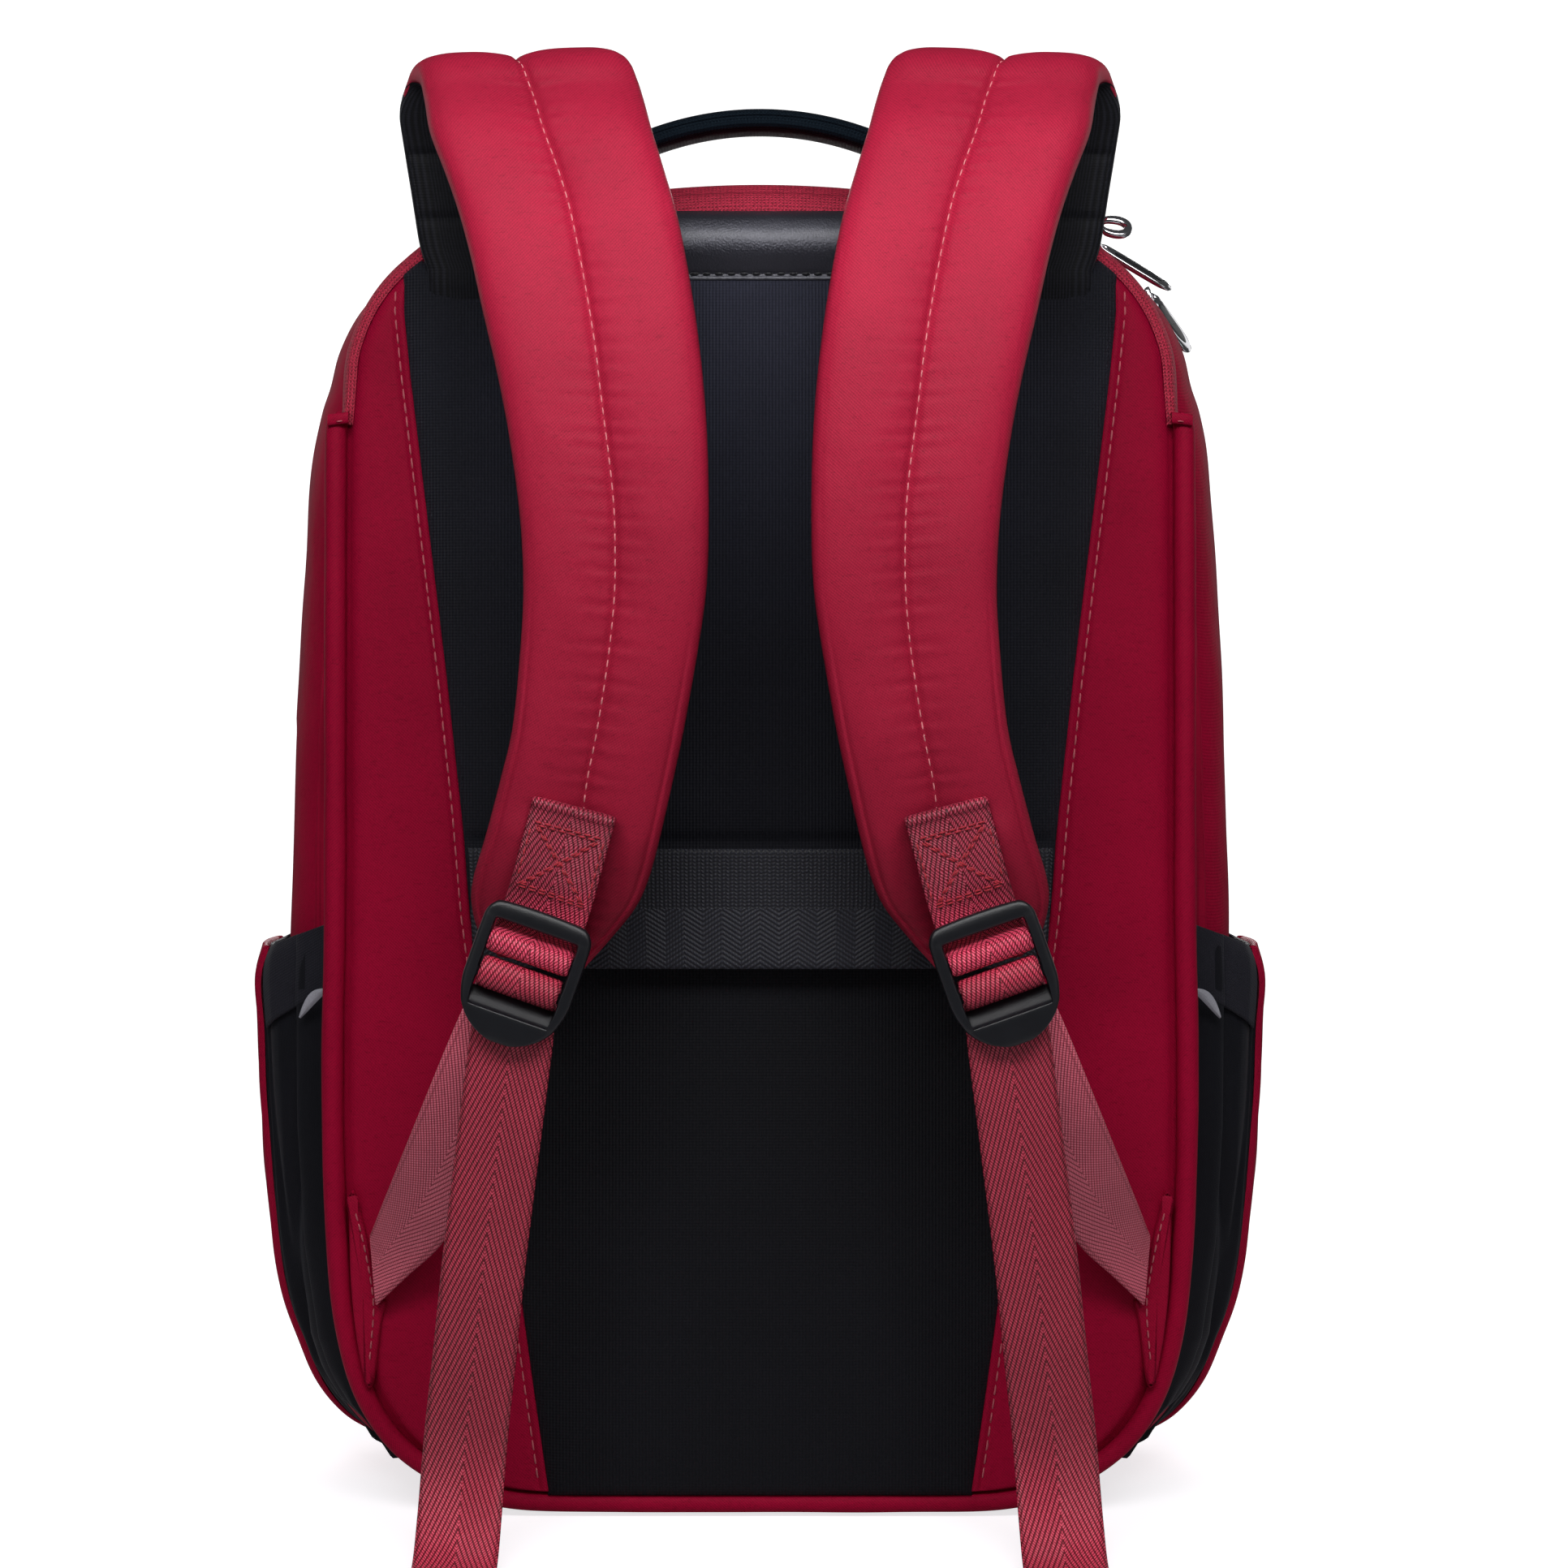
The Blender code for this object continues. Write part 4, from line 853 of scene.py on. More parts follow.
# --- leather patch -----------------------------------------------------------------------------
zs = np.concatenate([[389.6, 389.7, 390.1, 390.7, 391.3], np.linspace(391.8, 396, 12), np.linspace(396.6, 409.4, 22),
                     [410.4, 411.4, 412.2]])
rise = spread([(389.6, 0.2), (389.8, 2.6), (390.7, 3.1), (391.9, 2.5), (393.2, 3.5), (397.5, 6.3), (401.0, 7.3),
               (405.0, 6.9), (408.6, 5.2), (410.6, 3.2), (412.2, 0.6)], zs)
rows = []
for z, high in zip(zs, rise):
    xs = np.concatenate([-PATCH_HALF + np.array([0, 0.2, 0.6, 1.2, 2.2]), np.linspace(-33, 33, 60),
                         PATCH_HALF - np.array([2.2, 1.2, 0.6, 0.2, 0])])
    d = PATCH_HALF - np.abs(xs)
    lift = high * (1 - np.exp(-d / 0.7)) * (1 - 0.10 * (xs / 36) ** 2)
    row = xyz(xs, -0.2 - lift, z)
    row[:, 1] -= 0.07 * ripple(row * (1, 1, 1.6), 24, 11) * smooth(z, 395, 399)
    rows.append(row)
rows = np.array(rows)
patch = add_grid("leather_patch_cover", rows, LEATHER, "black_leather", (0, -1, 0), u=rows[..., 0], v=rows[..., 2],
                 replaces="leather_patch")
xs = np.linspace(-34.5, 34.5, 80)
add_stitches("patch_stitches", xyz(xs, -2.9, 392.0), (0, -1, 0), BLACK_THREAD, "black_leather", length=2.6,
             gap=1.3, radius=0.42, lift=0.15)

# --- trolley band ------------------------------------------------------------------------------
ts = np.concatenate([np.linspace(-1, -0.9, 8)[:-1], np.linspace(-0.9, 0.9, 90), np.linspace(0.9, 1, 8)[1:]])
bow = 6.6 * (1 - np.abs(ts) ** 4)
BAND_LOW, BAND_HEIGHT = 174.0, 37.4
hs = np.concatenate([[0.0, 0.25, 0.7], np.linspace(1.5, 35.9, 26), [36.7, 37.15, BAND_HEIGHT]])
z_of = BAND_LOW + hs
half_of = at([(BAND_LOW, 89.6), (193, 90.8), (211.4, 91.6)], z_of)
rounding = 0.8 * (1 - np.sqrt(1 - np.clip(np.abs(2 * hs / BAND_HEIGHT - 1), 0, 1) ** 24))
front = xyz(ts[:, None] * half_of[None], -(6.9 + bow)[:, None] - 1.6 + rounding[None], z_of[None])
front[..., 1] -= 0.25 * ripple(front, 52, 21) - 0.1
back = front + np.array((0, 1.5, 0)) - np.array((0, 1, 0)) * 2 * rounding[None, :, None]
ring = np.concatenate([front, back[:, ::-1]], axis=1)
u = np.broadcast_to(ts[:, None] * 91.6, (len(ts), 2 * len(hs) + 1))
v = np.concatenate([hs, hs[::-1], hs[:1]])[None] - BAND_HEIGHT / 2
add_loft("trolley_band_cover", ring, BAND, "black_webbing", u=u, v=v, replaces="trolley_band")

# --- piping and laptop gusset ------------------------------------------------------------------
pipe_half = [(133.2, 349.0), (134.0, 344.0)] + [p for p in REAR_HALF if p[1] < 336]
pipe_line = pipe_half + [(-x, z) for x, z in pipe_half[-2::-1]]
pipe = catmull([(x, 1.4, z) for x, z in pipe_line], 520)
along = run_of(pipe)
radius = 2.85 + 0.6 * smooth(pipe[:, 2], 10, 60) + 0.10 * ripple(pipe, 38, 7)
radius = radius * np.sqrt(np.clip(np.minimum(along, along[-1] - along) / 3.0, 0.05, 1))
add_loft("rear_piping_roll", tube_rings(pipe, radius, 22), RED_PANEL, "red_twill", replaces="rear_piping")


def body_rows(stations, fine):
    ys = []
    for (a, _), (b, _) in zip(stations[:-1], stations[1:]):
        ys.extend(np.linspace(a, b, fine, endpoint=False))
    ys.append(stations[-1][0])
    return np.array(ys), spread(stations, ys)


def outward(centre):
    c = np.asarray(centre, float)
    return lambda p: p - c


ys, offs = body_rows(GUSSET_OFFSETS, 7)
rows = []
for y, d in zip(ys, offs):
    open_here = smooth(REAR[:, 1], 334, 340) * (1 - smooth(y, 13.6, 14.4))
    p = ring_at(REAR, y, d - 2.6 * open_here)
    p = p + unit(p - (0, y, 200)) * (0.35 * ripple(p, 55, 31) * (1 - open_here))[:, None]
    rows.append(p)
grid = np.stack(rows, axis=1)
add_grid("laptop_gusset_cloth", grid, RED_BODY, "red_twill", outward((0, 16, 200)), wrap_u=True,
         replaces="laptop_gusset")


# --- zips --------------------------------------------------------------------------------------
def zip_path(half, end_height, count):
    kept = [p for p in half if p[1] > end_height]
    below = next(p for p in half if p[1] <= end_height)
    last = kept[-1]
    t = (last[1] - end_height) / (last[1] - below[1])
    kept.append((last[0] + (below[0] - last[0]) * t, end_height))
    return catmull([(-x, z) for x, z in kept[::-1]] + kept[1:], count)


def zip_rows(half, end_height, count, profile):
    """Rows of points over the top of the pack. The profile is (y, offset from the outline) pairs."""
    path = zip_path(half, end_height, count)
    out = left_normals(path)
    grid = []
    for y, d in profile:
        moved = path + out * np.broadcast_to(d(path[:, 1]) if callable(d) else d, len(path))[:, None]
        grid.append(xyz(moved[:, 0], y, moved[:, 1]))
    return np.stack(grid, axis=1), run_of(path)


def low_of(z):
    return panel_inset(z) + 1.6 + 0.9 * smooth(z, 398, 408)


def mid_of(z):
    return panel_inset(z) * 0.42 + 0.9 * smooth(z, 398, 408)


def between(t, lift):
    return lambda z: low_of(z) + (mid_of(z) - low_of(z)) * t + lift


profile = [(0.2, lambda z: low_of(z) - 2.2), (0.5, lambda z: low_of(z) - 0.6)]
for t in np.linspace(0, 1, 9):
    profile.append((0.9 + 5.3 * t, between(t, 0.5 + 0.9 * math.sin(math.pi * min(t * 1.05, 1)))))
profile += [(6.5, lambda z: mid_of(z) - 0.2), (6.6, lambda z: mid_of(z) - 1.6)]
grid, run = zip_rows(REAR_HALF, LAPTOP_ZIP_END, 420, profile)
v = (run - run.mean())[:, None]
add_grid("laptop_tape_rear", grid, TAPE, "red_zip_tape", outward((0, 8, 330)), u=run_of(grid[210])[None], v=v,
         replaces="laptop_zip_tape_rear")
profile = [(6.7, lambda z: mid_of(z) - 1.6), (6.8, lambda z: mid_of(z) + 0.1)]
for t in np.linspace(0, 1, 7):
    profile.append((7.0 + 6.6 * t, lambda z, t=t: (mid_of(z) + 0.6) * (1 - t) + (0.8 * smooth(z, 398, 408) - 0.2) * t
                    + 0.5 * math.sin(math.pi * t)))
profile += [(13.9, lambda z: -0.6), (14.1, lambda z: -2.2)]
grid, run = zip_rows(REAR_HALF, LAPTOP_ZIP_END, 420, profile)
add_grid("laptop_tape_front", grid, TAPE, "red_zip_tape", outward((0, 8, 330)), u=run_of(grid[210])[None], v=v,
         replaces="laptop_zip_tape_front")


def add_coil(name, half, end_height, y, offset, slot, replaces):
    """The zip's closed coil: a beaded strip under the meeting edges of its tapes."""
    count = 700
    path = zip_path(half, end_height, count)
    out = left_normals(path)
    run = run_of(path)
    angles = np.linspace(0, math.pi, 7)
    bead = 0.25 * (np.sin(run * TURN / 1.5) > 0)
    d = np.broadcast_to(offset(path[:, 1]) if callable(offset) else offset, count)
    rings = []
    for angle in angles:
        p = path + out * (d + (0.9 + bead) * math.sin(angle))[:, None]
        rings.append(xyz(p[:, 0], y + 1.7 * math.cos(angle), p[:, 1]))
    return add_grid(name, np.stack(rings, axis=1), TAPE, slot, outward((0, y, 200)), replaces=replaces,
                    u=(angles * 1.2)[None], v=run[:, None])


add_coil("laptop_coil", REAR_HALF, LAPTOP_ZIP_END + 4, 6.65, lambda z: mid_of(z) - 2.3, "red_zip_tape",
         "laptop_zip_coil")

end = SIDE_ZIP_END + 1
for word, (ya, yb), offset in (("main", MAIN_ZIP_Y, -1.3), ("front", FRONT_ZIP_Y, 1.5)):
    mid = (ya + yb) / 2
    for part, edge, far in (("rear", ya, -1), ("front", yb, 1)):
        profile = [(edge + 0.1 * far, offset - 2.6), (edge, offset - 1.2)]
        for t in np.linspace(0, 1, 6):
            profile.append((edge + (mid + 0.15 * far - edge) * t, offset - 0.75 + 0.55 * math.sin(math.pi * t)))
        profile += [(mid + 0.12 * far, offset - 1.2), (mid + 0.1 * far, offset - 2.2)]
        grid, run = zip_rows(MAIN_HALF, end, 460, profile)
        add_grid(f"{word}_tape_{part}", grid, TAPE, "red_zip_tape", outward((0, mid, 200)),
                 u=run_of(grid[230])[None], v=(run - run.mean())[:, None], replaces=f"{word}_zip_tape_{part}")
    add_coil(word + "_coil", MAIN_HALF, end + 3, mid, offset - 3.0, "red_zip_tape", word + "_zip_coil")

# folded tabs over the laptop zip's ends
for side, word in SIDES:
    xs = np.linspace(129.6, 136.2, 16)
    rows = []
    for t in np.linspace(0, 1, 11):
        z = 345.0 + 3.6 * t - 0.12 * (xs - 129)
        y = -3.1 - 0.6 * math.sin(math.pi * t) ** 0.5 + 0.022 * (xs - 132) ** 2
        rows.append(xyz(side * xs, y, z))
    lip = [rows[0] + (0, 3.2, 0.4)] + rows + [rows[-1] + (0, 3.4, -0.2)]
    add_grid("zip_end_tab_" + word, np.array(lip), RED_PANEL, "red_twill", (0, -1, 0),
             replaces="laptop_zip_tab_" + word)
    x = np.linspace(130.6, 135.6, 10)
    path = xyz(side * x, -3.75 + 0.022 * (x - 132) ** 2, 345.9 - 0.12 * (x - 129))
    add_stitches("zip_tab_stitches_" + word, path, (0, -1, 0), PANEL_THREAD, length=1.9, gap=0.8, radius=0.2)

# --- main and front compartments ---------------------------------------------------------------
def body_cloth(name, stations, fine, zip_y, seed, replaces, cap=False):
    ys, offs = body_rows(stations, fine)
    z0, z1 = zip_y
    finer = np.sort(np.concatenate([ys, [z0 - 0.9, z0 - 0.2, z0 + 0.3, z1 - 0.3, z1 + 0.2, z1 + 0.9]]))
    ys, offs = finer, np.interp(finer, ys, offs)
    above = smooth(MAIN[:, 1], SIDE_ZIP_END - 3, SIDE_ZIP_END + 3)
    n2 = normals_2d(MAIN)
    rows = []
    for y, d in zip(ys, offs):
        zip_dip = smooth(y, z0 - 0.3, z0 + 0.3) * (1 - smooth(y, z1 - 0.3, z1 + 0.3))
        hem = math.exp(-(y - z0 + 1.6) ** 2) + math.exp(-(y - z1 - 1.6) ** 2)
        p = ring_at(MAIN, y, d - (4.0 * zip_dip - 0.5 * hem) * above)
        soft = smooth(MAIN[:, 1], 8, 40)
        wave = 0.55 * ripple(p * (1, 1.3, 0.55), 62, seed) + 0.22 * ripple(p * (1, 1, 0.5), 23, seed + 1)
        p[:, [0, 2]] += n2 * (wave * soft * (1 - 0.8 * zip_dip))[:, None]
        if y > 95:
            p = soften(p, int(np.clip(-d - 3, 0, 40) * 0.7))
        rows.append(p)
    if cap:
        last = rows[-1]
        centre = np.array((0, 0, 205.0))
        for t in np.linspace(0, 1, 26)[1:]:
            q = last + (centre * (1, 0, 1) - last * (1, 0, 1)) * t * 0.999
            q[:, 1] = ys[-1] + 1.7 * math.sin(math.pi / 2 * t)
            q[:, 1] += 0.4 * ripple(q, 70, seed + 2) * math.sin(math.pi * min(1, t))
            rows.append(q)
    grid = np.stack(rows, axis=1)
    return add_grid(name, grid, RED_BODY, "red_twill", outward((0, 60, 200)), wrap_u=True, replaces=replaces)


body_cloth("main_shell_cloth", MAIN_OFFSETS, 7, MAIN_ZIP_Y, 41, "main_shell")
body_cloth("front_shell_cloth", FRONT_OFFSETS, 7, FRONT_ZIP_Y, 51, "front_shell", cap=True)
binding = np.roll(ring_at(MAIN, 79.25, 0.35), 280, axis=0)
binding = binding[binding[:, 2] > 4.2]
add_loft("wall_binding", tube_rings(binding, 1.25, 10), RED_BODY, "red_twill")

# slip pocket on the front
SLIP = [(-92, 238), (-60, 243), (0, 245), (60, 243), (92, 238), (98, 200), (100, 130), (96, 86),
        (84, 66), (60, 58), (0, 56), (-60, 58), (-84, 66), (-96, 86), (-100, 130), (-98, 200)]
slip = catmull(SLIP, 260, closed=True)


def front_y(points):
    d = np.min(np.linalg.norm(MAIN[None, ::3] - points[:, None], axis=2), axis=1)
    pairs = sorted((-o, y) for y, o in FRONT_OFFSETS[1:])
    return np.interp(np.minimum(d, 80.0), [p[0] for p in pairs], [p[1] for p in pairs])


rows = []
centre = np.array((0.0, 150.0))
for inset, lift in ((0.0, 0.4), (0.0, 3.0), (0.5, 4.8), (1.6, 5.8), (3.2, 5.6), (5.0, 6.2), (8.0, 7.2), (14, 8.1),
                    (24, 8.6)):
    p = slip - normals_2d(slip) * min(inset, 5.0)
    p = soften(centre + (p - centre) * (1 - max(inset - 5.0, 0) / 90), int(inset * 0.6))
    y = np.minimum(front_y(p) + lift, 151.4 + 0.02 * inset)
    rows.append(xyz(p[:, 0], y, p[:, 1]))
edge = rows[-1]
for t in np.linspace(0, 1, 22)[1:]:
    q = edge[:, [0, 2]] + (centre - edge[:, [0, 2]]) * t * 0.999
    y = edge[:, 1] * (1 - smooth(t, 0, 0.5)) + 152.3 * smooth(t, 0, 0.5)
    q = xyz(q[:, 0], y, q[:, 1])
    q[:, 1] += 0.3 * ripple(q, 55, 61) * math.sin(math.pi * t)
    rows.append(q)
grid = np.stack(rows, axis=1)
add_grid("slip_pocket_cloth", grid, RED_BODY, "red_twill", (0, 1, 0), replaces="front_slip_pocket",
         **flat_uv(grid))
p = slip - normals_2d(slip) * 3.2
line = xyz(p[:, 0], np.minimum(front_y(p) + 5.6, 151.45), p[:, 1])
add_stitches("slip_pocket_stitches", line, (0, 1, 0), PANEL_THREAD)

# base
foot = [(-92, 16), (-96, 22), (-96, 98), (-90, 106), (90, 106), (96, 98), (96, 22), (92, 16)]
foot = catmull(foot, 200, closed=True)
rows = []
for narrow, z in ((0.982, 0.0), (0.992, 0.1), (0.998, 0.6), (1.0, 1.2), (1.0, 2.4), (0.97, 3.2)):
    q = np.array((0, 61.0)) + (foot - (0, 61.0)) * narrow
    rows.append(xyz(np.clip(q[:, 0], -96, 96), np.clip(q[:, 1], 16, 106), z))
for t in np.linspace(0, 0.98, 12)[1:]:
    q = np.array((0, 61.0)) + (foot - (0, 61.0)) * 0.982 * (1 - t)
    rows.insert(0, xyz(q[:, 0], np.clip(q[:, 1], 16, 106), 0.0))
grid = np.stack(rows, axis=1)
add_grid("base_panel_cloth", grid, BLACK, "black_fabric", outward((0, 60, 12)), replaces="base_panel",
         **flat_uv(grid, 1))

# --- side pockets ------------------------------------------------------------------------------
# the pocket's outer wall, as (x, z)
LEVELS = [(128.8, 11.6), (143.4, 19.4), (155.0, 32.5), (161.2, 49), (164.6, 66), (167.0, 84),
          (169.6, 116), (171.3, 148.6), (172.0, 165), (169.6, 175.4)]
body_side = sorted((z, x) for x, z in MAIN_HALF if z < 330)


def body_x(z, y):
    return at(body_side, z) + at(MAIN_OFFSETS[2:8] + [(78, 0.6), (88, 1.6), (94, 1.6), (108, -1.2)], y)


rear_side = sorted((z, x) for x, z in REAR_HALF if z < 330)
near_y = np.concatenate([np.linspace(5.6, 25.0, 12), np.linspace(26.2, 52.4, 34)])
far_y = np.concatenate([np.linspace(53.5, 92, 22), np.linspace(93, 108, 18)])
dense_levels = catmull(LEVELS, 100)
dense_levels[:, 0] -= 2.9 * peak(dense_levels[:, 1] - 35, 18.0)


def drawn_in(y):
    """The pocket's outer wall comes in towards the viewer's side."""
    return 3.2 * (1 - smooth(y, 50, 76))


def pocket_wall(side, levels, lifts, push, far_push):
    """Rows up the pocket, columns from its near seam to its far seam."""
    grid = []
    for y in near_y:
        g = float(np.interp(y, [5.6, 12, 20, 26, 31, 37, 44, 52.4], [0, 0.05, 0.14, 0.27, 0.52, 0.76, 0.92, 1.0]))
        zb = levels[:, 1] + lifts
        start = at(rear_side, zb) + 1.6 - 3.4 * (1 - smooth(zb, 14, 40))
        inward = (push + (far_push - push) * smooth(y, 34, 50)) * smooth(y, 8, 30)
        x = start + (levels[:, 0] - drawn_in(y) - start) * g - inward
        if y > 22:
            shell = body_x(np.maximum(zb, 9.0), y) + 4.2 * smooth(y, 22, 27) * smooth(zb, 20, 44)
            shell = shell - 0.4 * (1 - smooth(zb, 20, 44))
            x = np.maximum(x, np.minimum(shell, levels[:, 0] - drawn_in(y) - inward))
        g = np.clip((x + inward - start) / (levels[:, 0] - drawn_in(y) - start), 0, 1)
        grid.append(xyz(x, y, zb + (levels[:, 1] - zb) * g))
    for y in far_y:
        g = float(np.interp(y, [53, 90, 97, 103, 108], [1.0, 1.0, 0.94, 0.55, 0.0]))
        zb = levels[:, 1] + lifts * 0.4
        start = body_x(np.maximum(zb, 9.0), y) + at([(30, 4.0), (80, 3.0)], zb)
        x = start + (levels[:, 0] - drawn_in(y) - start) * g - far_push
        grid.append(xyz(x, y, zb + (levels[:, 1] - zb) * g))
    grid = np.array(grid)
    grid[..., 0] *= side
    return grid


across_wall = np.concatenate([near_y, far_y])
for side, word in SIDES:
    low = catmull(np.vstack([dense_levels[dense_levels[:, 1] < 150], [(170.5, 160), (169.5, 171)]]), 110)
    lifts = at([(11, 3.0), (60, 2.5), (116, 1.0), (150, 10.0), (171, 14.0)], low[:, 1])
    grid = pocket_wall(side, low, lifts, 2.0, 2.4)
    yy, zz = grid[..., 1], grid[..., 2]
    near = smooth(yy, 24, 30) * (1 - smooth(yy, 48, 53))
    path = (yy - 26) / 26
    fold = peak(path - 0.30 - 0.16 * np.sin(zz / 38.0 + 0.4), 0.085) * 3.4
    fold = fold + peak(path - 0.62 - 0.10 * np.sin(zz / 24.0 + 2.0), 0.10) * 2.2
    fold = fold + peak(path - 0.86 + 0.05 * np.sin(zz / 31.0), 0.05) * 1.3
    grid[..., 0] -= side * fold * near * 0.45
    grid[..., 1] += fold * near * 0.8
    grid[..., 1] += 0.5 * ripple(grid * (1, 1, 0.5), 21, 77) * near
    add_grid("pocket_gusset_cloth_" + word, grid, BLACK, "black_fabric", (side, -0.6, 0),
             replaces="pocket_gusset_" + word)
    top = np.array([(171.1, 148.4), (171.8, 158), (172.0, 165), (171.4, 171), (169.6, 175.6)])
    top = catmull(top, 26)
    lifts = spread([(148.4, 18.6), (165.0, 17.0), (175.6, 11.4)], top[:, 1])
    grid = pocket_wall(side, top, lifts, -0.4, 2.6)
    sag = smooth(across_wall, 26, 40) * (1 - smooth(across_wall, 46, 53))
    grid[..., 1] -= 0.9 * sag[:, None] * np.sin(np.linspace(0, math.pi, 26))[None]
    inner = grid - np.array((side * 1.1, -0.4, 0))
    ring = np.concatenate([grid, inner[:, ::-1]], axis=1)
    add_grid("pocket_elastic_" + word, ring, ELASTIC, "black_fabric",
             lambda p, g=grid: p - g.mean(axis=(0, 1)) + np.array((side * 6.0, -3, 0)),
             wrap_v=True, replaces="pocket_band_" + word)
    # a fold of the pale lining shows under the elastic
    t = np.linspace(0, 1, 18)
    spine = np.array((139.4, 11.0, 165.0)) + np.outer(t, (9.4, 9.0, -9.6))
    spine[:, 2] += 1.6 * np.sin(math.pi * t)
    half = 0.25 + 1.5 * np.sin(math.pi * np.clip(t * 0.9 + 0.08, 0, 1)) ** 0.8
    rows = [spine + np.outer(half * k, (0.62, 0.0, 0.78)) + np.outer(np.full(18, 0.9 * k * k), (0, 1, 0))
            for k in np.linspace(-1, 1, 9)]
    grid = np.array(rows) * (side, 1, 1)
    add_grid("pocket_lining_" + word, grid, LINING, "grey_lining", (0, -1, 0))
    ys = np.array([51.4, 51.6, 52.4, 53.4, 55, 58, 62, 68, 75, 82, 88, 92, 94.6, 95.4, 96.2, 96.4])
    puff = np.array([-2.4, -1.2, -0.2, 0.1, 0.0, 0.2, 0.3, 0.4, 0.4, 0.4, 0.3, 0.2, 0.0, 0.1, -0.6, -1.6])
    grid = np.array([xyz(dense_levels[:, 0] + q - drawn_in(y), y, dense_levels[:, 1]) for y, q in zip(ys, puff)])
    top_row = grid[:, -1:]
    grid = np.concatenate([grid] + [top_row + np.array(d) for d in ((-0.9, 0, 0.9), (-2.0, 0, 0.2), (-2.2, 0, -2.2))],
                          axis=1)
    grid[..., 0] = side * (grid[..., 0] + 0.35 * ripple(grid, 34, 71))
    add_grid("pocket_panel_cloth_" + word, grid, RED_BODY, "red_twill", (side, 0, 0), replaces="pocket_panel_" + word)

# --- shoulder straps ---------------------------------------------------------------------------
COUNT = 330
outer_edge = catmull(STRAP_OUTER, COUNT)
inner_edge = catmull(STRAP_INNER, COUNT)
s_at = np.linspace(0, 1, COUNT)
strap_mid = (outer_edge + inner_edge) / 2
strap_run = run_of(strap_mid)
strap_wide = inner_edge - outer_edge
strap_width = np.linalg.norm(strap_wide, axis=1)
strap_normal = unit(np.cross(np.gradient(strap_mid, axis=0), strap_wide))
thick_at = evened(at([(0, 2.6), (0.05, 3.4), (0.16, 5.6), (0.24, 6.6), (0.34, 6.6), (0.8, 5.8), (0.93, 4.6),
                      (1.0, 3.0)], s_at), 15)
end_round = np.sqrt(np.clip(1 - np.clip(1 - (strap_run[-1] - strap_run) / 5.0, 0, 1) ** 2, 0, 1))
seam_share = (at(SEAM_X, strap_mid[:, 2]) - outer_edge[:, 0]) / strap_wide[:, 0]
anchor = float(np.interp(0.31, s_at, seam_share))
near_top = at([(0, 0.487), (0.15, 0.470), (0.195, 0.472), (0.225, 0.497), (0.25, 0.502), (0.27, 0.502),
               (0.31, anchor)], s_at)
seam_share = evened(np.where(s_at < 0.31, near_top, seam_share), 25)


def lobes(across):
    """Height of the strap's face, as a share of its half thickness, at shares across it. Rows run along."""
    d_seam = (across[None] - seam_share[:, None]) * strap_width[:, None]
    d_edge = np.minimum(across[None], 1 - across[None]) * strap_width[:, None]
    roll = np.sqrt(np.clip(1 - (1 - np.clip(d_edge / 13.0, 0, 1)) ** 2.3, 0, 1))
    dip = 0.34 * peak(np.abs(d_seam), 4.6, 1.25) + 0.16 * peak(d_seam, 1.1)
    sag = (0.10 + 0.13 * smooth(s_at, 0.45, 0.75))[:, None] * peak(d_seam + 1.0, 8.5)
    return roll * (1 - sag) - dip * roll, d_seam, d_edge


near_edge = np.array([0.0, 0.004, 0.012, 0.020, 0.027, 0.033, 0.038, 0.043, 0.048, 0.053, 0.059, 0.067])
across = np.concatenate([near_edge, np.linspace(0.078, 0.922, 62), 1 - near_edge[::-1]])
face, d_seam, d_edge = lobes(across)
seam_v = strap_run[:, None]
high = face * thick_at[:, None]
pucker = np.sin(seam_v * TURN / 5.3 + 1.7 * np.sin(seam_v / 17.0))
pucker = pucker + 0.6 * np.sin(seam_v * TURN / 3.4 + 2.2 * np.sin(seam_v / 9.0))
reach = np.exp(-np.abs(d_seam) / 5.5) * (1 - np.exp(-np.abs(d_seam) / 1.1))
high = high + 0.30 * pucker * reach
hem = peak(d_edge - 1.5, 0.8) * 0.25 - peak(d_edge - 2.7, 0.55) * 0.60
high = high + hem * (0.12 + 0.88 * smooth(s_at, 0.66, 0.84))[:, None]
face_points = outer_edge[:, None] + strap_wide[:, None] * across[None, :, None]
slow = 0.22 * ripple(face_points * (1.3, 1, 0.6), 40, 81) + 0.10 * ripple(face_points * (1, 1, 1.0), 15, 82)
high = high + slow * smooth(d_edge, 2, 9)
to_tip = (strap_run[-1] - strap_run)[:, None]
under_web = smooth(to_tip, 50, 40)
high = high + under_web * (1.3 * smooth(np.abs(d_seam), 11, 19) * smooth(d_edge, 1, 8)
                           - 0.9 * (1 - smooth(np.abs(d_seam), 10, 15)))
high = high * end_round[:, None]
high = np.maximum(high, -0.12 * thick_at[:, None] * end_round[:, None])
top = face_points + strap_normal[:, None] * high[..., None]
sunk = strap_normal[:, None] * (-0.45 * thick_at * end_round)[:, None, None]
lip = strap_wide[:, None] * np.array([-0.004, 0.004])[None, :, None]
lip_a = outer_edge[:, None] + sunk * np.array([0.5, 1.0])[None, :, None] + lip
lip_b = inner_edge[:, None] + sunk * np.array([1.0, 0.5])[None, :, None] + lip
tuck_in = strap_wide[:, None] * 0.035
tuck_down = strap_normal[:, None] * (-0.52 * thick_at * end_round)[:, None, None]
tuck_a = outer_edge[:, None] + tuck_in + tuck_down
tuck_b = inner_edge[:, None] - tuck_in + tuck_down
pad_ring = np.concatenate([top, lip_b[:, ::-1], tuck_b, tuck_a, lip_a[:, ::-1]], axis=1)
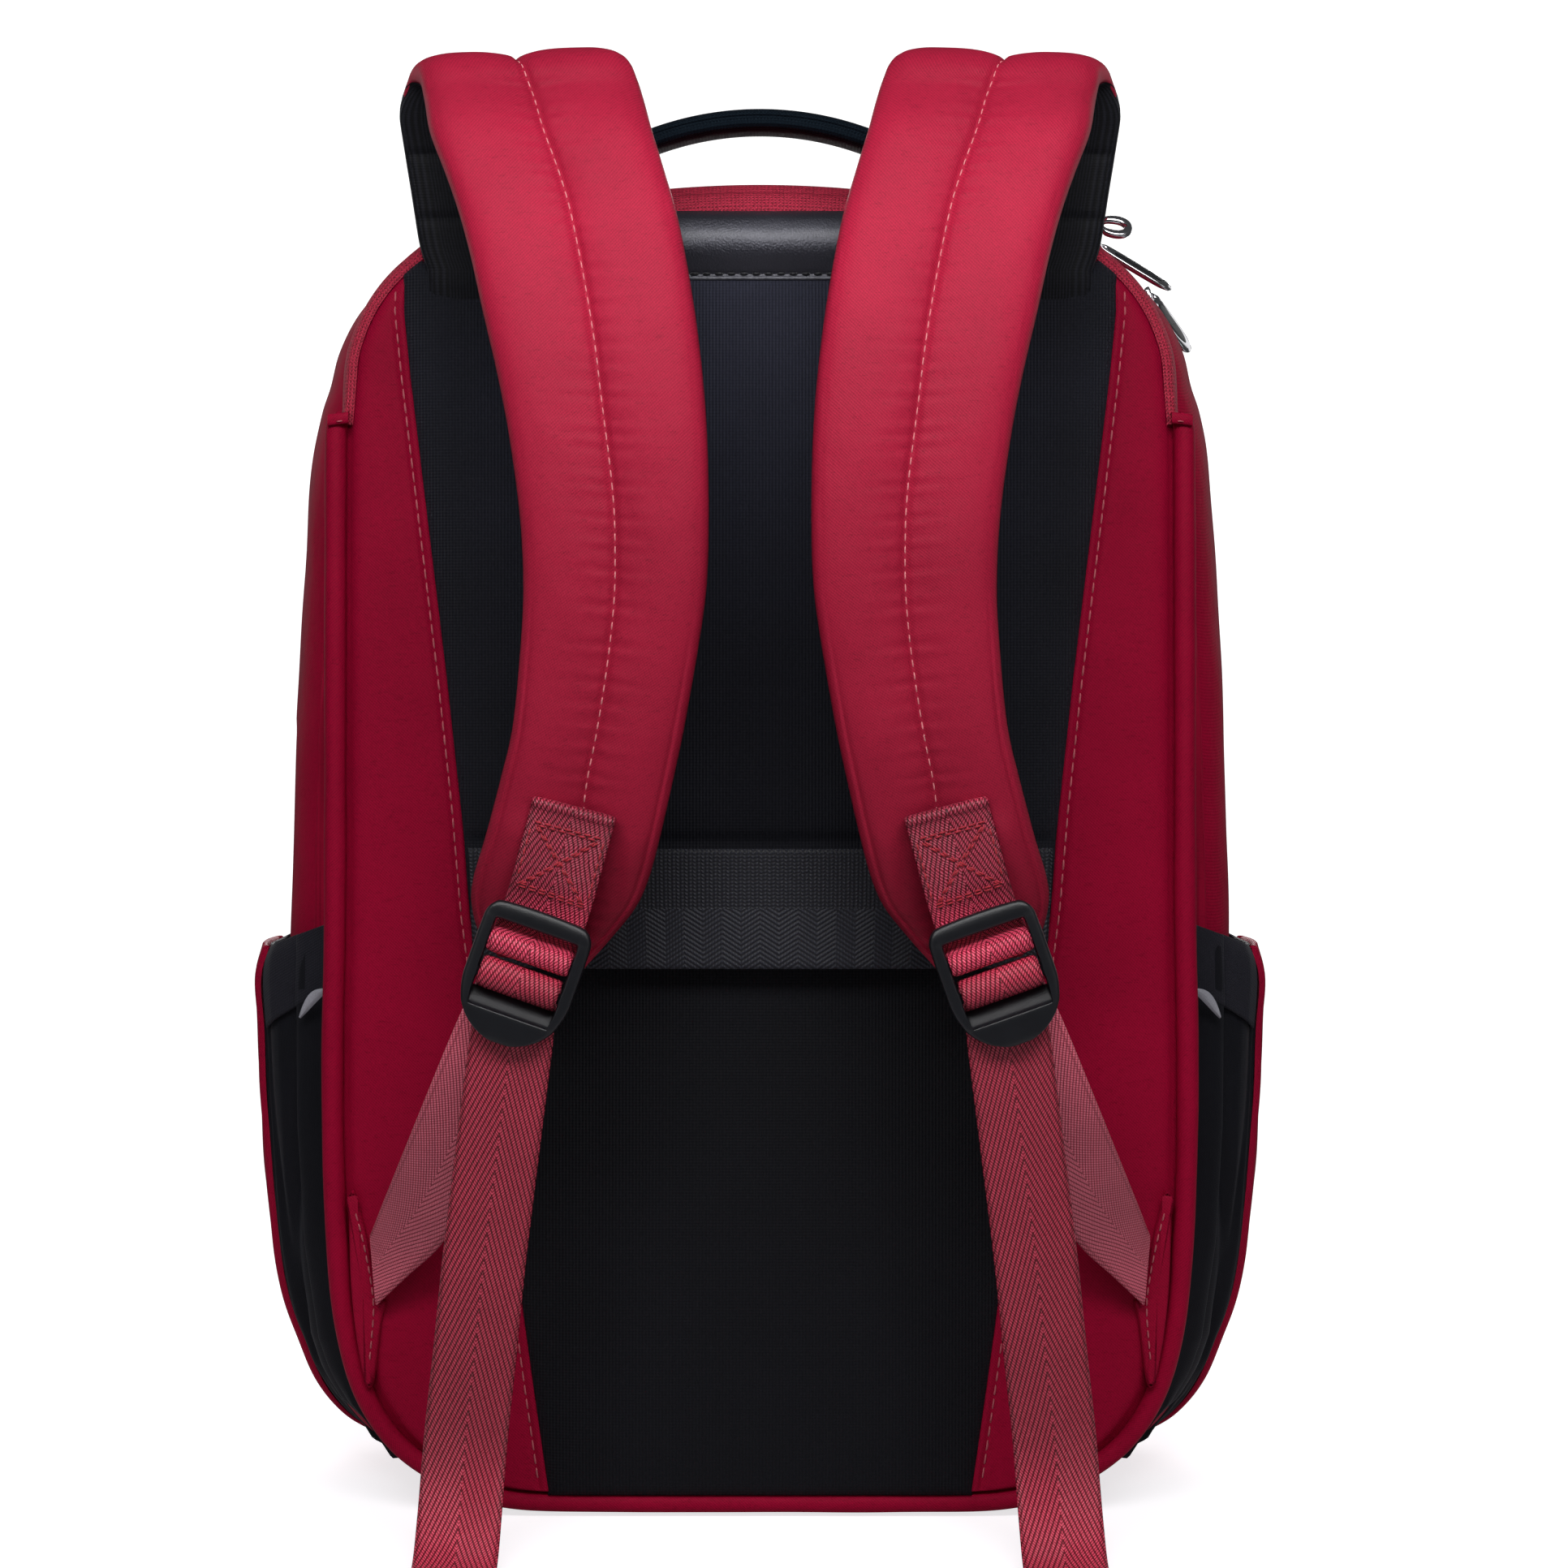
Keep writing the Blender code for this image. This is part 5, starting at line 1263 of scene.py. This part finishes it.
pad_u = np.concatenate([(across[None] - seam_share[:, None]) * strap_width[:, None]] + [
    np.broadcast_to(np.array(x), (COUNT, 1)) for x in (34.5, 35.5, 38.0, -38.0, -35.5, -34.5)]
    + [(0 - seam_share[:, None]) * strap_width[:, None]], axis=1)

lining_across = np.concatenate([[0.0, 0.004, 0.012, 0.024, 0.04, 0.06], np.linspace(0.09, 0.91, 36),
                                [0.94, 0.96, 0.976, 0.988, 0.996, 1.0]])
behind = (1 - smooth(s_at, 0.135, 0.180))[:, None]
edge_in = np.array([-0.005, -0.014, -0.018, -0.016, -0.006, 0.022])
edge_up = np.array([0.62, 0.35, 0.0, -0.36, -0.62, -0.74])
d_edge2 = np.minimum(lining_across, 1 - lining_across)[None] * strap_width[:, None]
hollow = -(0.42 + 0.50 * (1 - (1 - np.clip(d_edge2 / 15.0, 0, 1)) ** 2.2))
front_share = 0.5 + (lining_across - 0.5) * 1.006
back_share, back_up = lining_across.copy(), hollow.copy()
back_share[:6], back_share[-6:] = edge_in, 1 - edge_in[::-1]
back_up = np.minimum(back_up, -0.76)
back_up[:, :6], back_up[:, -6:] = edge_up, edge_up[::-1]
share = front_share[None] * (1 - behind) + back_share[None] * behind
under = (hollow * (1 - behind) + back_up * behind) * thick_at[:, None]
creases = sum(1.3 * peak(strap_run[:, None] - c - 1.5 * (lining_across[None] - 0.5), 1.6) for c in (17.0, 38.0))
under = under + (creases - 1.5 * behind) * smooth(d_edge2, 0, 6)
under = under * (end_round[:, None] * (1 - behind) + behind)
lining_points = outer_edge[:, None] + strap_wide[:, None] * share[..., None]
under = under - 0.25 * ripple(lining_points, 30, 91) * smooth(d_edge2, 2, 9)
lining_grid = lining_points + strap_normal[:, None] * under[..., None]
# the root tucks down into the mesh pad
root = lining_grid[0]
tuck = [root + np.array((0, d, -q)) for q, d in ((14.0, 4.6), (9.5, 3.0), (5.5, 1.2), (2.4, 0.25))]
lining_grid = np.concatenate([np.array(tuck), lining_grid], axis=0)
lining_run = np.concatenate([[-14.0, -9.5, -5.5, -2.4], strap_run])
# seam line for the running stitch
seam_face = np.array([np.interp(seam_share[k], across, high[k]) for k in range(COUNT)])
seam_line = outer_edge + strap_wide * seam_share[:, None] + strap_normal * (seam_face - 0.25)[:, None]
stitched = strap_run < strap_run[-1] - 46.0
for side, word in SIDES:
    pad = add_loft("strap_pad_cover_" + word, flipped(pad_ring, side), RED_STRAP, "red_twill", u=pad_u,
                   v=strap_run[:, None], replaces="strap_pad_" + word)
    grid = flipped(lining_grid, side)
    n = flipped(strap_normal, side)
    lining = add_grid("strap_lining_mesh_" + word, grid, LINING_MESH, "black_mesh",
                      lambda p, n=np.concatenate([n[:4], n]): -np.repeat(n[:-1], len(lining_across) - 1, axis=0),
                      u=(lining_across * 67)[None], v=lining_run[:, None], replaces="strap_lining_" + word)
    add_stitches("strap_stitches_" + word, flipped(seam_line[stitched], side), n[stitched], PALE_THREAD,
                 length=2.7, gap=1.05, radius=0.20, lift=0.2)


# --- webbing at the buckles --------------------------------------------------------------------
def buckle_point(u, v, n):
    """A point in the left buckle's own directions. u runs towards the middle of the pack."""
    cx, cy, cz = BUCKLE_CENTRE
    c, s = math.cos(BUCKLE_LEAN), math.sin(BUCKLE_LEAN)
    u, v, n = np.broadcast_arrays(np.asarray(u, float), v, n)
    return np.stack([cx + u * c + v * s, cy - n, cz - u * s + v * c], axis=-1)


SEWN = [(50.7, -5.6, -2.0), (50.4, -3.9, -2.0), (49.0, -3.4, -1.9), (46.6, -4.3, -1.7), (36.0, -4.2, -0.9),
        (27.0, -4.6, -0.2), (20.0, -6.4, 0), (15.6, -7.1, 0),
        (12.0, -5.6, 0), (10.2, -2.6, 0), (9.4, 0.6, 0), (8.5, 2.6, 0), (6.5, 3.4, 0), (4.5, 2.6, 0),
        (3.7, 0.8, 0), (3.6, -1.8, 0), (4.2, -5.2, 0), (6.4, -8.4, 0), (12.0, -9.6, 0)]
sewn = catmull(SEWN, 170)
WRAP = [(0.9, -2.2, 0), (0.9, 1.0, 0), (-0.4, 2.7, 0), (-2.9, 3.5, 0), (-5.3, 2.7, 0), (-6.6, 1.0, 0),
        (-6.3, -2.2, 0)]
wrap = catmull(WRAP, 60)
LOW_LEFT = [(-121.9, -8.0, 90.6), (-117.4, -15, 101), (-104.0, -35, 131), (-92.0, -49.5, 158),
            (-86.8, -53.4, 169.0), (-83.6, -54.6, 175.4), tuple(buckle_point(-12.3, -0.9, -3.5))]
LOW_RIGHT = [(-120.3, -6.2, 67.8), (-110.0, -11.5, 77.9), (-99.4, -18.5, 88.2), (-89.5, -27.5, 102.5),
             (-78.5, -37.5, 124), (-69.0, -47, 142), (-63.2, -52.6, 157.0), (-60.2, -54.4, 166.0),
             tuple(buckle_point(12.3, -0.9, -3.5))]
low_left, low_right = catmull(LOW_LEFT, 120), catmull(LOW_RIGHT, 120)
for side, word in SIDES:
    skew = 1.05 * smooth(sewn[:, 0], 20, 44) * (sewn[:, 1] > -5.8)
    left = flipped(buckle_point(-12.7 + sewn[:, 2], sewn[:, 0] - skew, sewn[:, 1]), side)
    right = flipped(buckle_point(12.7 + sewn[:, 2], sewn[:, 0] + skew, sewn[:, 1]), side)
    add_band("strap_webbing_band_" + word, left, right, 1.3, WEBBING_SEWN, v0=3.0,
             replaces="strap_webbing_" + word)
    left = flipped(buckle_point(-12.3, wrap[:, 0], wrap[:, 1]), side)
    right = flipped(buckle_point(12.3, wrap[:, 0], wrap[:, 1]), side)
    add_band("webbing_wrap_band_" + word, left, right, 1.3, WEBBING, body="buckle_" + word,
             replaces="webbing_wrap_" + word)
    add_band("lower_webbing_band_" + word, flipped(low_left, side), flipped(low_right, side), 1.3, WEBBING_UNDER,
             replaces="lower_webbing_" + word)
    # box-X stitching on the sewn end
    def on_band(a, b):
        t = np.linspace(0, 1, 24)
        u, v = a[0] + (b[0] - a[0]) * t, a[1] + (b[1] - a[1]) * t
        run_v = at(sorted((p[0], p[1]) for p in SEWN[3:7]), v)
        du = at(sorted((p[0], p[2]) for p in SEWN[3:7]), v)
        v = v + 1.05 * smooth(v, 20, 44) * u / 12.7
        return flipped(buckle_point(u + du, v, run_v + 0.72), side)
    lines = []
    for shift in (0.0, 0.9):
        lines += [((-10.8, 44.0 - shift), (10.8, 44.0 - shift)), ((-10.8, 23.6 + shift), (10.8, 23.6 + shift)),
                  ((-10.6 + shift, 43.6), (9.6 + shift, 24.0)), ((10.6 - shift, 43.6), (-9.6 - shift, 24.0))]
    lines += [((-11.0, 43.6), (-11.0, 24.0)), ((11.0, 43.6), (11.0, 24.0))]
    for k, (a, b) in enumerate(lines):
        add_stitches(f"box_stitches_{k}_{word}", on_band(a, b), (0, -1, 0), BOX_THREAD, "red_webbing",
                     length=2.3, gap=0.7, radius=0.34, lift=0.12, start=0.5 + 0.37 * k % 1.5)


# --- buckles -----------------------------------------------------------------------------------
def buckle_mesh(side, word):
    """Ladder-lock frame from a cage of cells, rounded by subdivision."""
    us = [-16.7, -16.2, -13.6, -12.8, -12.4, 0.0, 12.4, 12.8, 13.6, 16.2, 16.7]
    # v, how far the outline draws in, half depth at the bars
    vs = [(19.1, 0.78, 1.0), (18.7, 0.845, 1.8), (16.7, 0.955, 2.4), (13.8, 0.99, 2.3), (13.0, 0.992, 1.7),
          (7.9, 1.0, 1.2), (7.4, 1.0, 1.4), (5.6, 1.0, 1.4), (5.1, 1.0, 1.2),
          (-2.2, 1.0, 1.3), (-2.8, 1.0, 1.6), (-4.5, 1.0, 1.6), (-5.1, 1.0, 1.3),
          (-8.6, 0.975, 1.4), (-13.0, 0.885, 1.7), (-13.6, 0.866, 2.1), (-15.6, 0.79, 2.1), (-17.8, 0.67, 2.0),
          (-19.8, 0.51, 1.9), (-21.4, 0.30, 1.6), (-22.1, 0.12, 1.0)]
    open_rows = {4, 8, 12, 13}
    nu, nv = len(us), len(vs)
    pts = np.zeros((2, nu, nv, 3))
    for i, u in enumerate(us):
        for j, (v, narrow, half) in enumerate(vs):
            rail = abs(u) > 12.6
            depth = max(half, 2.5) if rail and 13.1 > v > -13.1 else half
            if abs(u) > 16.5:
                depth *= 0.55
            x = u * narrow
            if 13.1 > v > -13.7 and abs(u) < 13.5:
                x = math.copysign(min(abs(u), 16.7 * narrow - 1.6), u)
            shift = -0.8 * (abs(u) / 16.7) ** 2 * (1 if v > 15 else 0)
            pts[0, i, j] = buckle_point(x, v + shift, depth)
            pts[1, i, j] = buckle_point(x, v + shift, -depth)
    def solid(i, j):
        return 0 <= i < nu - 1 and 0 <= j < nv - 1 and not (3 <= i <= 6 and j in open_rows)
    index = lambda s, i, j: s * nu * nv + i * nv + j
    quads = []
    for i in range(nu - 1):
        for j in range(nv - 1):
            if not solid(i, j):
                continue
            a, b, c, d = (i, j), (i + 1, j), (i + 1, j + 1), (i, j + 1)
            quads.append([index(0, *a), index(0, *b), index(0, *c), index(0, *d)])
            quads.append([index(1, *d), index(1, *c), index(1, *b), index(1, *a)])
            for (p, q), near in (((a, b), (i, j - 1)), ((b, c), (i + 1, j)),
                                 ((c, d), (i, j + 1)), ((d, a), (i - 1, j))):
                if not solid(*near):
                    quads.append([index(0, *q), index(0, *p), index(1, *p), index(1, *q)])
    pts = flipped(pts.reshape(-1, 3), side)
    quads = np.array(quads)
    volume = np.einsum("ij,ij->", pts[quads[:, 0]], np.cross(pts[quads[:, 1]], pts[quads[:, 2]]))
    volume += np.einsum("ij,ij->", pts[quads[:, 0]], np.cross(pts[quads[:, 2]], pts[quads[:, 3]]))
    if volume < 0:
        quads = quads[:, ::-1]
    made = add_mesh("buckle_frame_" + word, pts, quads, pts[quads][..., [0, 2]], PLASTIC, "black_plastic",
                    body="buckle_" + word, replaces="buckle_" + word)
    sub = made.modifiers.new("round", "SUBSURF")
    sub.levels = sub.render_levels = 3
    return made


for side, word in SIDES:
    buckle_mesh(side, word)
    # sloping inner face and recessed floor at the foot of the window
    section = [(-13.7, 1.35), (-13.1, 1.3), (-12.7, 0.75), (-11.3, -0.3), (-9.9, -1.3), (-8.4, -2.3), (-8.1, -2.7),
               (-8.8, -2.9), (-13.7, -2.4)]
    section = catmull(section, 44, closed=True)
    rows = [flipped(buckle_point(np.full(len(section), u), section[:, 0], section[:, 1]), side)
            for u in np.linspace(-12.9, 12.9, 30)]
    add_loft("buckle_ledge_" + word, np.array(rows), PLASTIC, "black_plastic", body="buckle_" + word)

# --- folded wings that hold the lower webbing --------------------------------------------------
WING = [(-129.0, 102.8), (-124.8, 92.4), (-120.6, 71.4), (-117.9, 68.4), (-119.2, 62.0), (-121.8, 43.0),
        (-124.4, 43.0), (-127.4, 58.0), (-129.2, 78.0)]
wing_ring = catmull(WING, 150, closed=True)
for side, word in SIDES:
    rows = []
    for inset, high in ((0.0, 0.4), (0.0, 2.2), (0.25, 3.0), (0.8, 3.5), (1.6, 3.5), (2.6, 3.7)):
        p = wing_ring - normals_2d(wing_ring) * inset
        rows.append(xyz(p[:, 0], -high, p[:, 1]))
    edge = rows[-1]
    centre = np.array((edge[:, 0].mean(), -3.9, edge[:, 2].mean()))
    rows += [edge + (centre - edge) * t * 0.98 for t in np.linspace(0, 1, 8)[1:]]
    grid = flipped(np.stack(rows, axis=1), side)
    add_grid("webbing_wing_cloth_" + word, grid, RED_BODY, "red_twill", (0, -1, 0),
             replaces="webbing_wing_" + word, **flat_uv(grid))
    line = catmull([(-127.4, -3.75, 97), (-125.0, -3.85, 88), (-122.6, -3.85, 76), (-121.6, -3.85, 66),
                    (-122.8, -3.8, 50)], 50)
    add_stitches("wing_stitches_" + word, flipped(line, side), (0, -1, 0), PANEL_THREAD, length=2.4, gap=1.0,
                 radius=0.24)

# --- carry handle ------------------------------------------------------------------------------
handle_y = 29.5
ts = np.linspace(-1, 1, 150)
xs = 64.6 * ts
handle_arc = 97.0
level = np.sqrt(handle_arc ** 2 - (xs * 0.985) ** 2)
wide = at([(0, 8.6), (0.6, 8.6), (0.85, 7.4), (1.0, 6.4)], np.abs(ts))
thick = at([(0, 3.6), (0.6, 3.6), (0.85, 3.1), (1.0, 2.4)], np.abs(ts))
slope = np.arctan2(xs * 0.97, level)
up = xyz(np.sin(slope), 0, np.cos(slope))
w = TURN * (np.arange(40) + 0.5) / 40
c, s = np.cos(w), np.sin(w)
cc = np.copysign(np.abs(c) ** 0.55, c)
ss = np.copysign(np.abs(s) ** 0.62, s)
pinch = 1 - 0.16 * peak(s, 0.16)
spine = xyz(xs, handle_y, 446.4 - (handle_arc - level))
sideways = np.array((0, 1, 0)) * (wide[:, None] * (cc * pinch)[None])[..., None]
rings = spine[:, None] + sideways + up[:, None] * (thick[:, None] * ss[None])[..., None]
add_loft("carry_handle_webbing", rings, HANDLE_CLOTH, "black_webbing", body="handle", replaces="carry_handle")
for side, word in SIDES:
    profile = [(67.3, 419.0), (67.3, 425.2), (69.0, 426.6), (75.0, 423.4), (79.0, 418.8), (78.4, 417.4)]
    profile = catmull(profile, 40, closed=True)
    rows = []
    for y, inset in ((-7.4, 1.2), (-7.2, 0.5), (-6.4, 0.0), (6.4, 0.0), (7.2, 0.5), (7.4, 1.2)):
        p = profile - normals_2d(profile) * inset
        rows.append(xyz(side * p[:, 0], handle_y + y, p[:, 1]))
    add_loft("handle_anchor_tab_" + word, np.array(rows), HANDLE_CLOTH, "black_webbing",
             replaces="handle_anchor_" + word)


# --- sliders and pulls -------------------------------------------------------------------------
def on_arc(shoulder, radius, angle, along=0.0):
    cx, cz, _ = shoulder
    a = math.radians(angle)
    return np.array((cx + radius * math.cos(a) + along * math.sin(a), cz + radius * math.sin(a) - along * math.cos(a)))


# arc, surface and angle on it, y, pull length and width, turn, whether it is a plain ring, roll
SLIDERS = {
    "laptop": (REAR_SHOULDER, 53.9, 65.5, 6.6, 13.0, 8.4, 16.0, True, 58.0),
    "main": (MAIN_SHOULDER, 55.8, 70.0, 54.0, 31.0, 7.8, -11.0, False, 26.0),
    "front": (MAIN_SHOULDER, 58.4, 47.6, 90.0, 27.0, 8.6, -13.0, False, 34.0),
}
SLIDER_PROFILE = [(-4.4, 0.5), (-4.5, 1.4), (-3.9, 2.2), (-3.0, 2.7), (-2.2, 3.9), (-1.0, 4.3), (1.0, 4.3),
                  (2.2, 3.9), (3.0, 2.7), (3.9, 2.2), (4.5, 1.4), (4.4, 0.5)]
# outlines as shares of a pull's length and half width
RING_EDGE = [(0.0, 0.36), (0.06, 0.50), (0.2, 0.72), (0.45, 0.96), (0.66, 1.0), (0.85, 0.80), (0.96, 0.45), (1.0, 0.0)]
RING_HOLE = [(0.18, 0.0), (0.26, 0.22), (0.45, 0.36), (0.68, 0.34), (0.80, 0.0), (0.68, -0.34), (0.45, -0.36),
             (0.26, -0.22)]
PULL_EDGE = [(0.0, 0.42), (0.06, 0.62), (0.2, 0.86), (0.45, 1.0), (0.75, 0.98), (0.91, 0.84), (0.98, 0.5), (1.0, 0.0)]
PULL_HOLE = [(0.06, 0.0), (0.10, 0.30), (0.16, 0.34), (0.20, 0.0), (0.16, -0.34), (0.10, -0.30)]
PULL_INLAY = [(0.27, 0.0), (0.33, 0.42), (0.5, 0.62), (0.75, 0.58), (0.88, 0.0), (0.75, -0.58), (0.5, -0.62),
              (0.33, -0.42)]


def aligned(ring, reference):
    """Both rings' points in order of their angle round one middle."""
    angle_of = np.arctan2(ring[:, 1], ring[:, 0] - ring[:, 0].mean())
    angle_ref = np.arctan2(reference[:, 1], reference[:, 0] - ring[:, 0].mean())
    return ring[np.argsort(angle_of)], reference[np.argsort(angle_ref)]


for word, (arc, surface, angle, y, length, width, turn, loop, roll) in SLIDERS.items():
    profile = catmull(SLIDER_PROFILE, 48, closed=True)
    rows = []
    for across_y, narrow in ((-3.2, 0.86), (-3.0, 0.95), (-2.5, 1.0), (2.5, 1.0), (3.0, 0.95), (3.2, 0.86)):
        ring = []
        for along, high in profile:
            slim = 1.0 if high < 2.3 else 0.52
            x, z = on_arc(arc, surface + 0.5 + (high - 0.5) * narrow, angle, along * narrow)
            ring.append((x, y + across_y * slim, z))
        rows.append(ring)
    add_loft("slider_body_" + word, rows, CHROME, "chrome", body="slider_" + word, replaces="slider_" + word)
    root = on_arc(arc, surface + (7.0 if word == "front" else 5.4), angle, 2.4)
    a = math.radians(angle - 90 + turn)
    d = np.array((math.cos(a), math.sin(a)))
    up2 = np.array((-d[1], d[0]))
    half = width / 2

    def shaped(shares, count):
        return catmull([(length * r, half * c) for r, c in shares], count, closed=True)

    edge = RING_EDGE if loop else PULL_EDGE
    outline = shaped(edge + [(r, -c) for r, c in edge[-2::-1]], 110)
    hole, outline = aligned(shaped(RING_HOLE if loop else PULL_HOLE, 110), outline)
    thick = 1.15 if loop else 0.95

    def place(p, high):
        """Points on the pull, which turns from its root's direction to its own roll."""
        twist = math.radians(roll) * smooth(p[:, 0], 0.5, 5.0)
        lift = p[:, 1] * np.sin(twist) + high * np.cos(twist)
        q = root[None] + d[None] * p[:, :1] + up2[None] * lift[:, None]
        return xyz(q[:, 0], y + p[:, 1] * np.cos(twist) - high * np.sin(twist), q[:, 1])

    upper = [(0.93, 0.88), (0.80, thick), (0.35, thick), (0.10, 0.80)]
    section = [(1.0, 0.0), (0.985, 0.55), *upper, (0.0, 0.4), (0.0, -0.4), *((s, -h) for s, h in upper[::-1]),
               (0.985, -0.55)]
    grid = np.stack([place(hole + (outline - hole) * share, high) for share, high in section], axis=1)
    add_grid("pull_" + word, grid, CHROME, "chrome", lambda p: p - p.mean(axis=0), wrap_u=True, wrap_v=True,
             body="puller_" + word, replaces="puller_" + word)
    if not loop:
        for k, sign in enumerate((1, -1)):
            inset = shaped(PULL_INLAY, 80)
            middle = inset.mean(axis=0)
            rows = [place(middle + (inset - middle) * q, sign * (thick + h)) for q, h in
                    ((1.0, -0.1), (0.97, 0.06), (0.9, 0.12), (0.5, 0.14), (0.02, 0.14))]
            add_grid(f"pull_inlay_{k}_{word}", np.stack(rows, axis=1), DARK_INSERT, "black_plastic",
                     (up2[0] * sign, 0, up2[1] * sign), wrap_u=True, body="puller_" + word)

# --- floor and light ---------------------------------------------------------------------------
floor_mesh = bpy.data.meshes.new("floor")
span = 5.0
corners = ((-span, -span), (span, -span), (span, span), (-span, span))
floor_mesh.from_pydata([(x, y, -0.0003) for x, y in corners], [], [(0, 1, 2, 3)])
floor = bpy.data.objects.new("floor", floor_mesh)
bpy.context.scene.collection.objects.link(floor)
f = Finish("floor_paper", roughness=0.9, specular=0.0)
f.paint((0.72, 0.705, 0.735), f.fit(f.noise(60, 2), 0.02, 0.99))
seen = f.node("ShaderNodeLightPath").outputs["Is Camera Ray"]
f.put("Emission Color", (1.0, 0.985, 1.0, 1.0))
f.put("Emission Strength", f.mul(seen, 0.74))
away = f.node("ShaderNodeVectorMath", operation="LENGTH")
f.feed(away.inputs[0], f.place())
f.put("Alpha", f.less(1.0, f.step(away.outputs["Value"], 230.0, 620.0)))
floor_mesh.materials.append(f.made)

world = bpy.data.worlds.new("studio")
bpy.context.scene.world = world
world.use_nodes = True
tree = world.node_tree
tree.nodes.clear()
out = tree.nodes.new("ShaderNodeOutputWorld")
ambient = tree.nodes.new("ShaderNodeBackground")
ambient.inputs["Color"].default_value = (0.95, 0.97, 1.0, 1)
ambient.inputs["Strength"].default_value = 0.07
white = tree.nodes.new("ShaderNodeBackground")
white.inputs["Color"].default_value = (1, 1, 1, 1)
white.inputs["Strength"].default_value = 1.2
ray = tree.nodes.new("ShaderNodeLightPath")
mix = tree.nodes.new("ShaderNodeMixShader")
tree.links.new(ray.outputs["Is Camera Ray"], mix.inputs["Fac"])
tree.links.new(ambient.outputs[0], mix.inputs[1])
tree.links.new(white.outputs[0], mix.inputs[2])
tree.links.new(mix.outputs[0], out.inputs["Surface"])


def softbox(name, place, target, size, power, colour=(1, 1, 1)):
    light = bpy.data.lights.new(name, "AREA")
    light.shape = "RECTANGLE"
    light.size, light.size_y = size
    light.energy = power
    light.color = colour
    made = bpy.data.objects.new(name, light)
    made.location = place
    made.rotation_euler = (Vector(target) - Vector(place)).to_track_quat("-Z", "Y").to_euler()
    bpy.context.scene.collection.objects.link(made)
    return made


softbox("key", (0, -0.56, 0.65), (0, -0.05, 0.38), (0.8, 0.22), 4.5)
for side in (-1, 1):
    softbox("fill", (side * 0.95, -1.25, 0.30), (0, -0.02, 0.14), (0.5, 0.6), 0.8)
    softbox("rim", (side * 1.3, 1.2, 0.8), (0, 0.08, 0.24), (0.8, 1.0), 3)
softbox("back", (0, 1.15, 0.60), (0, 0.15, 0.24), (0.9, 0.5), 9)
bpy.context.scene.view_settings.view_transform = "Standard"
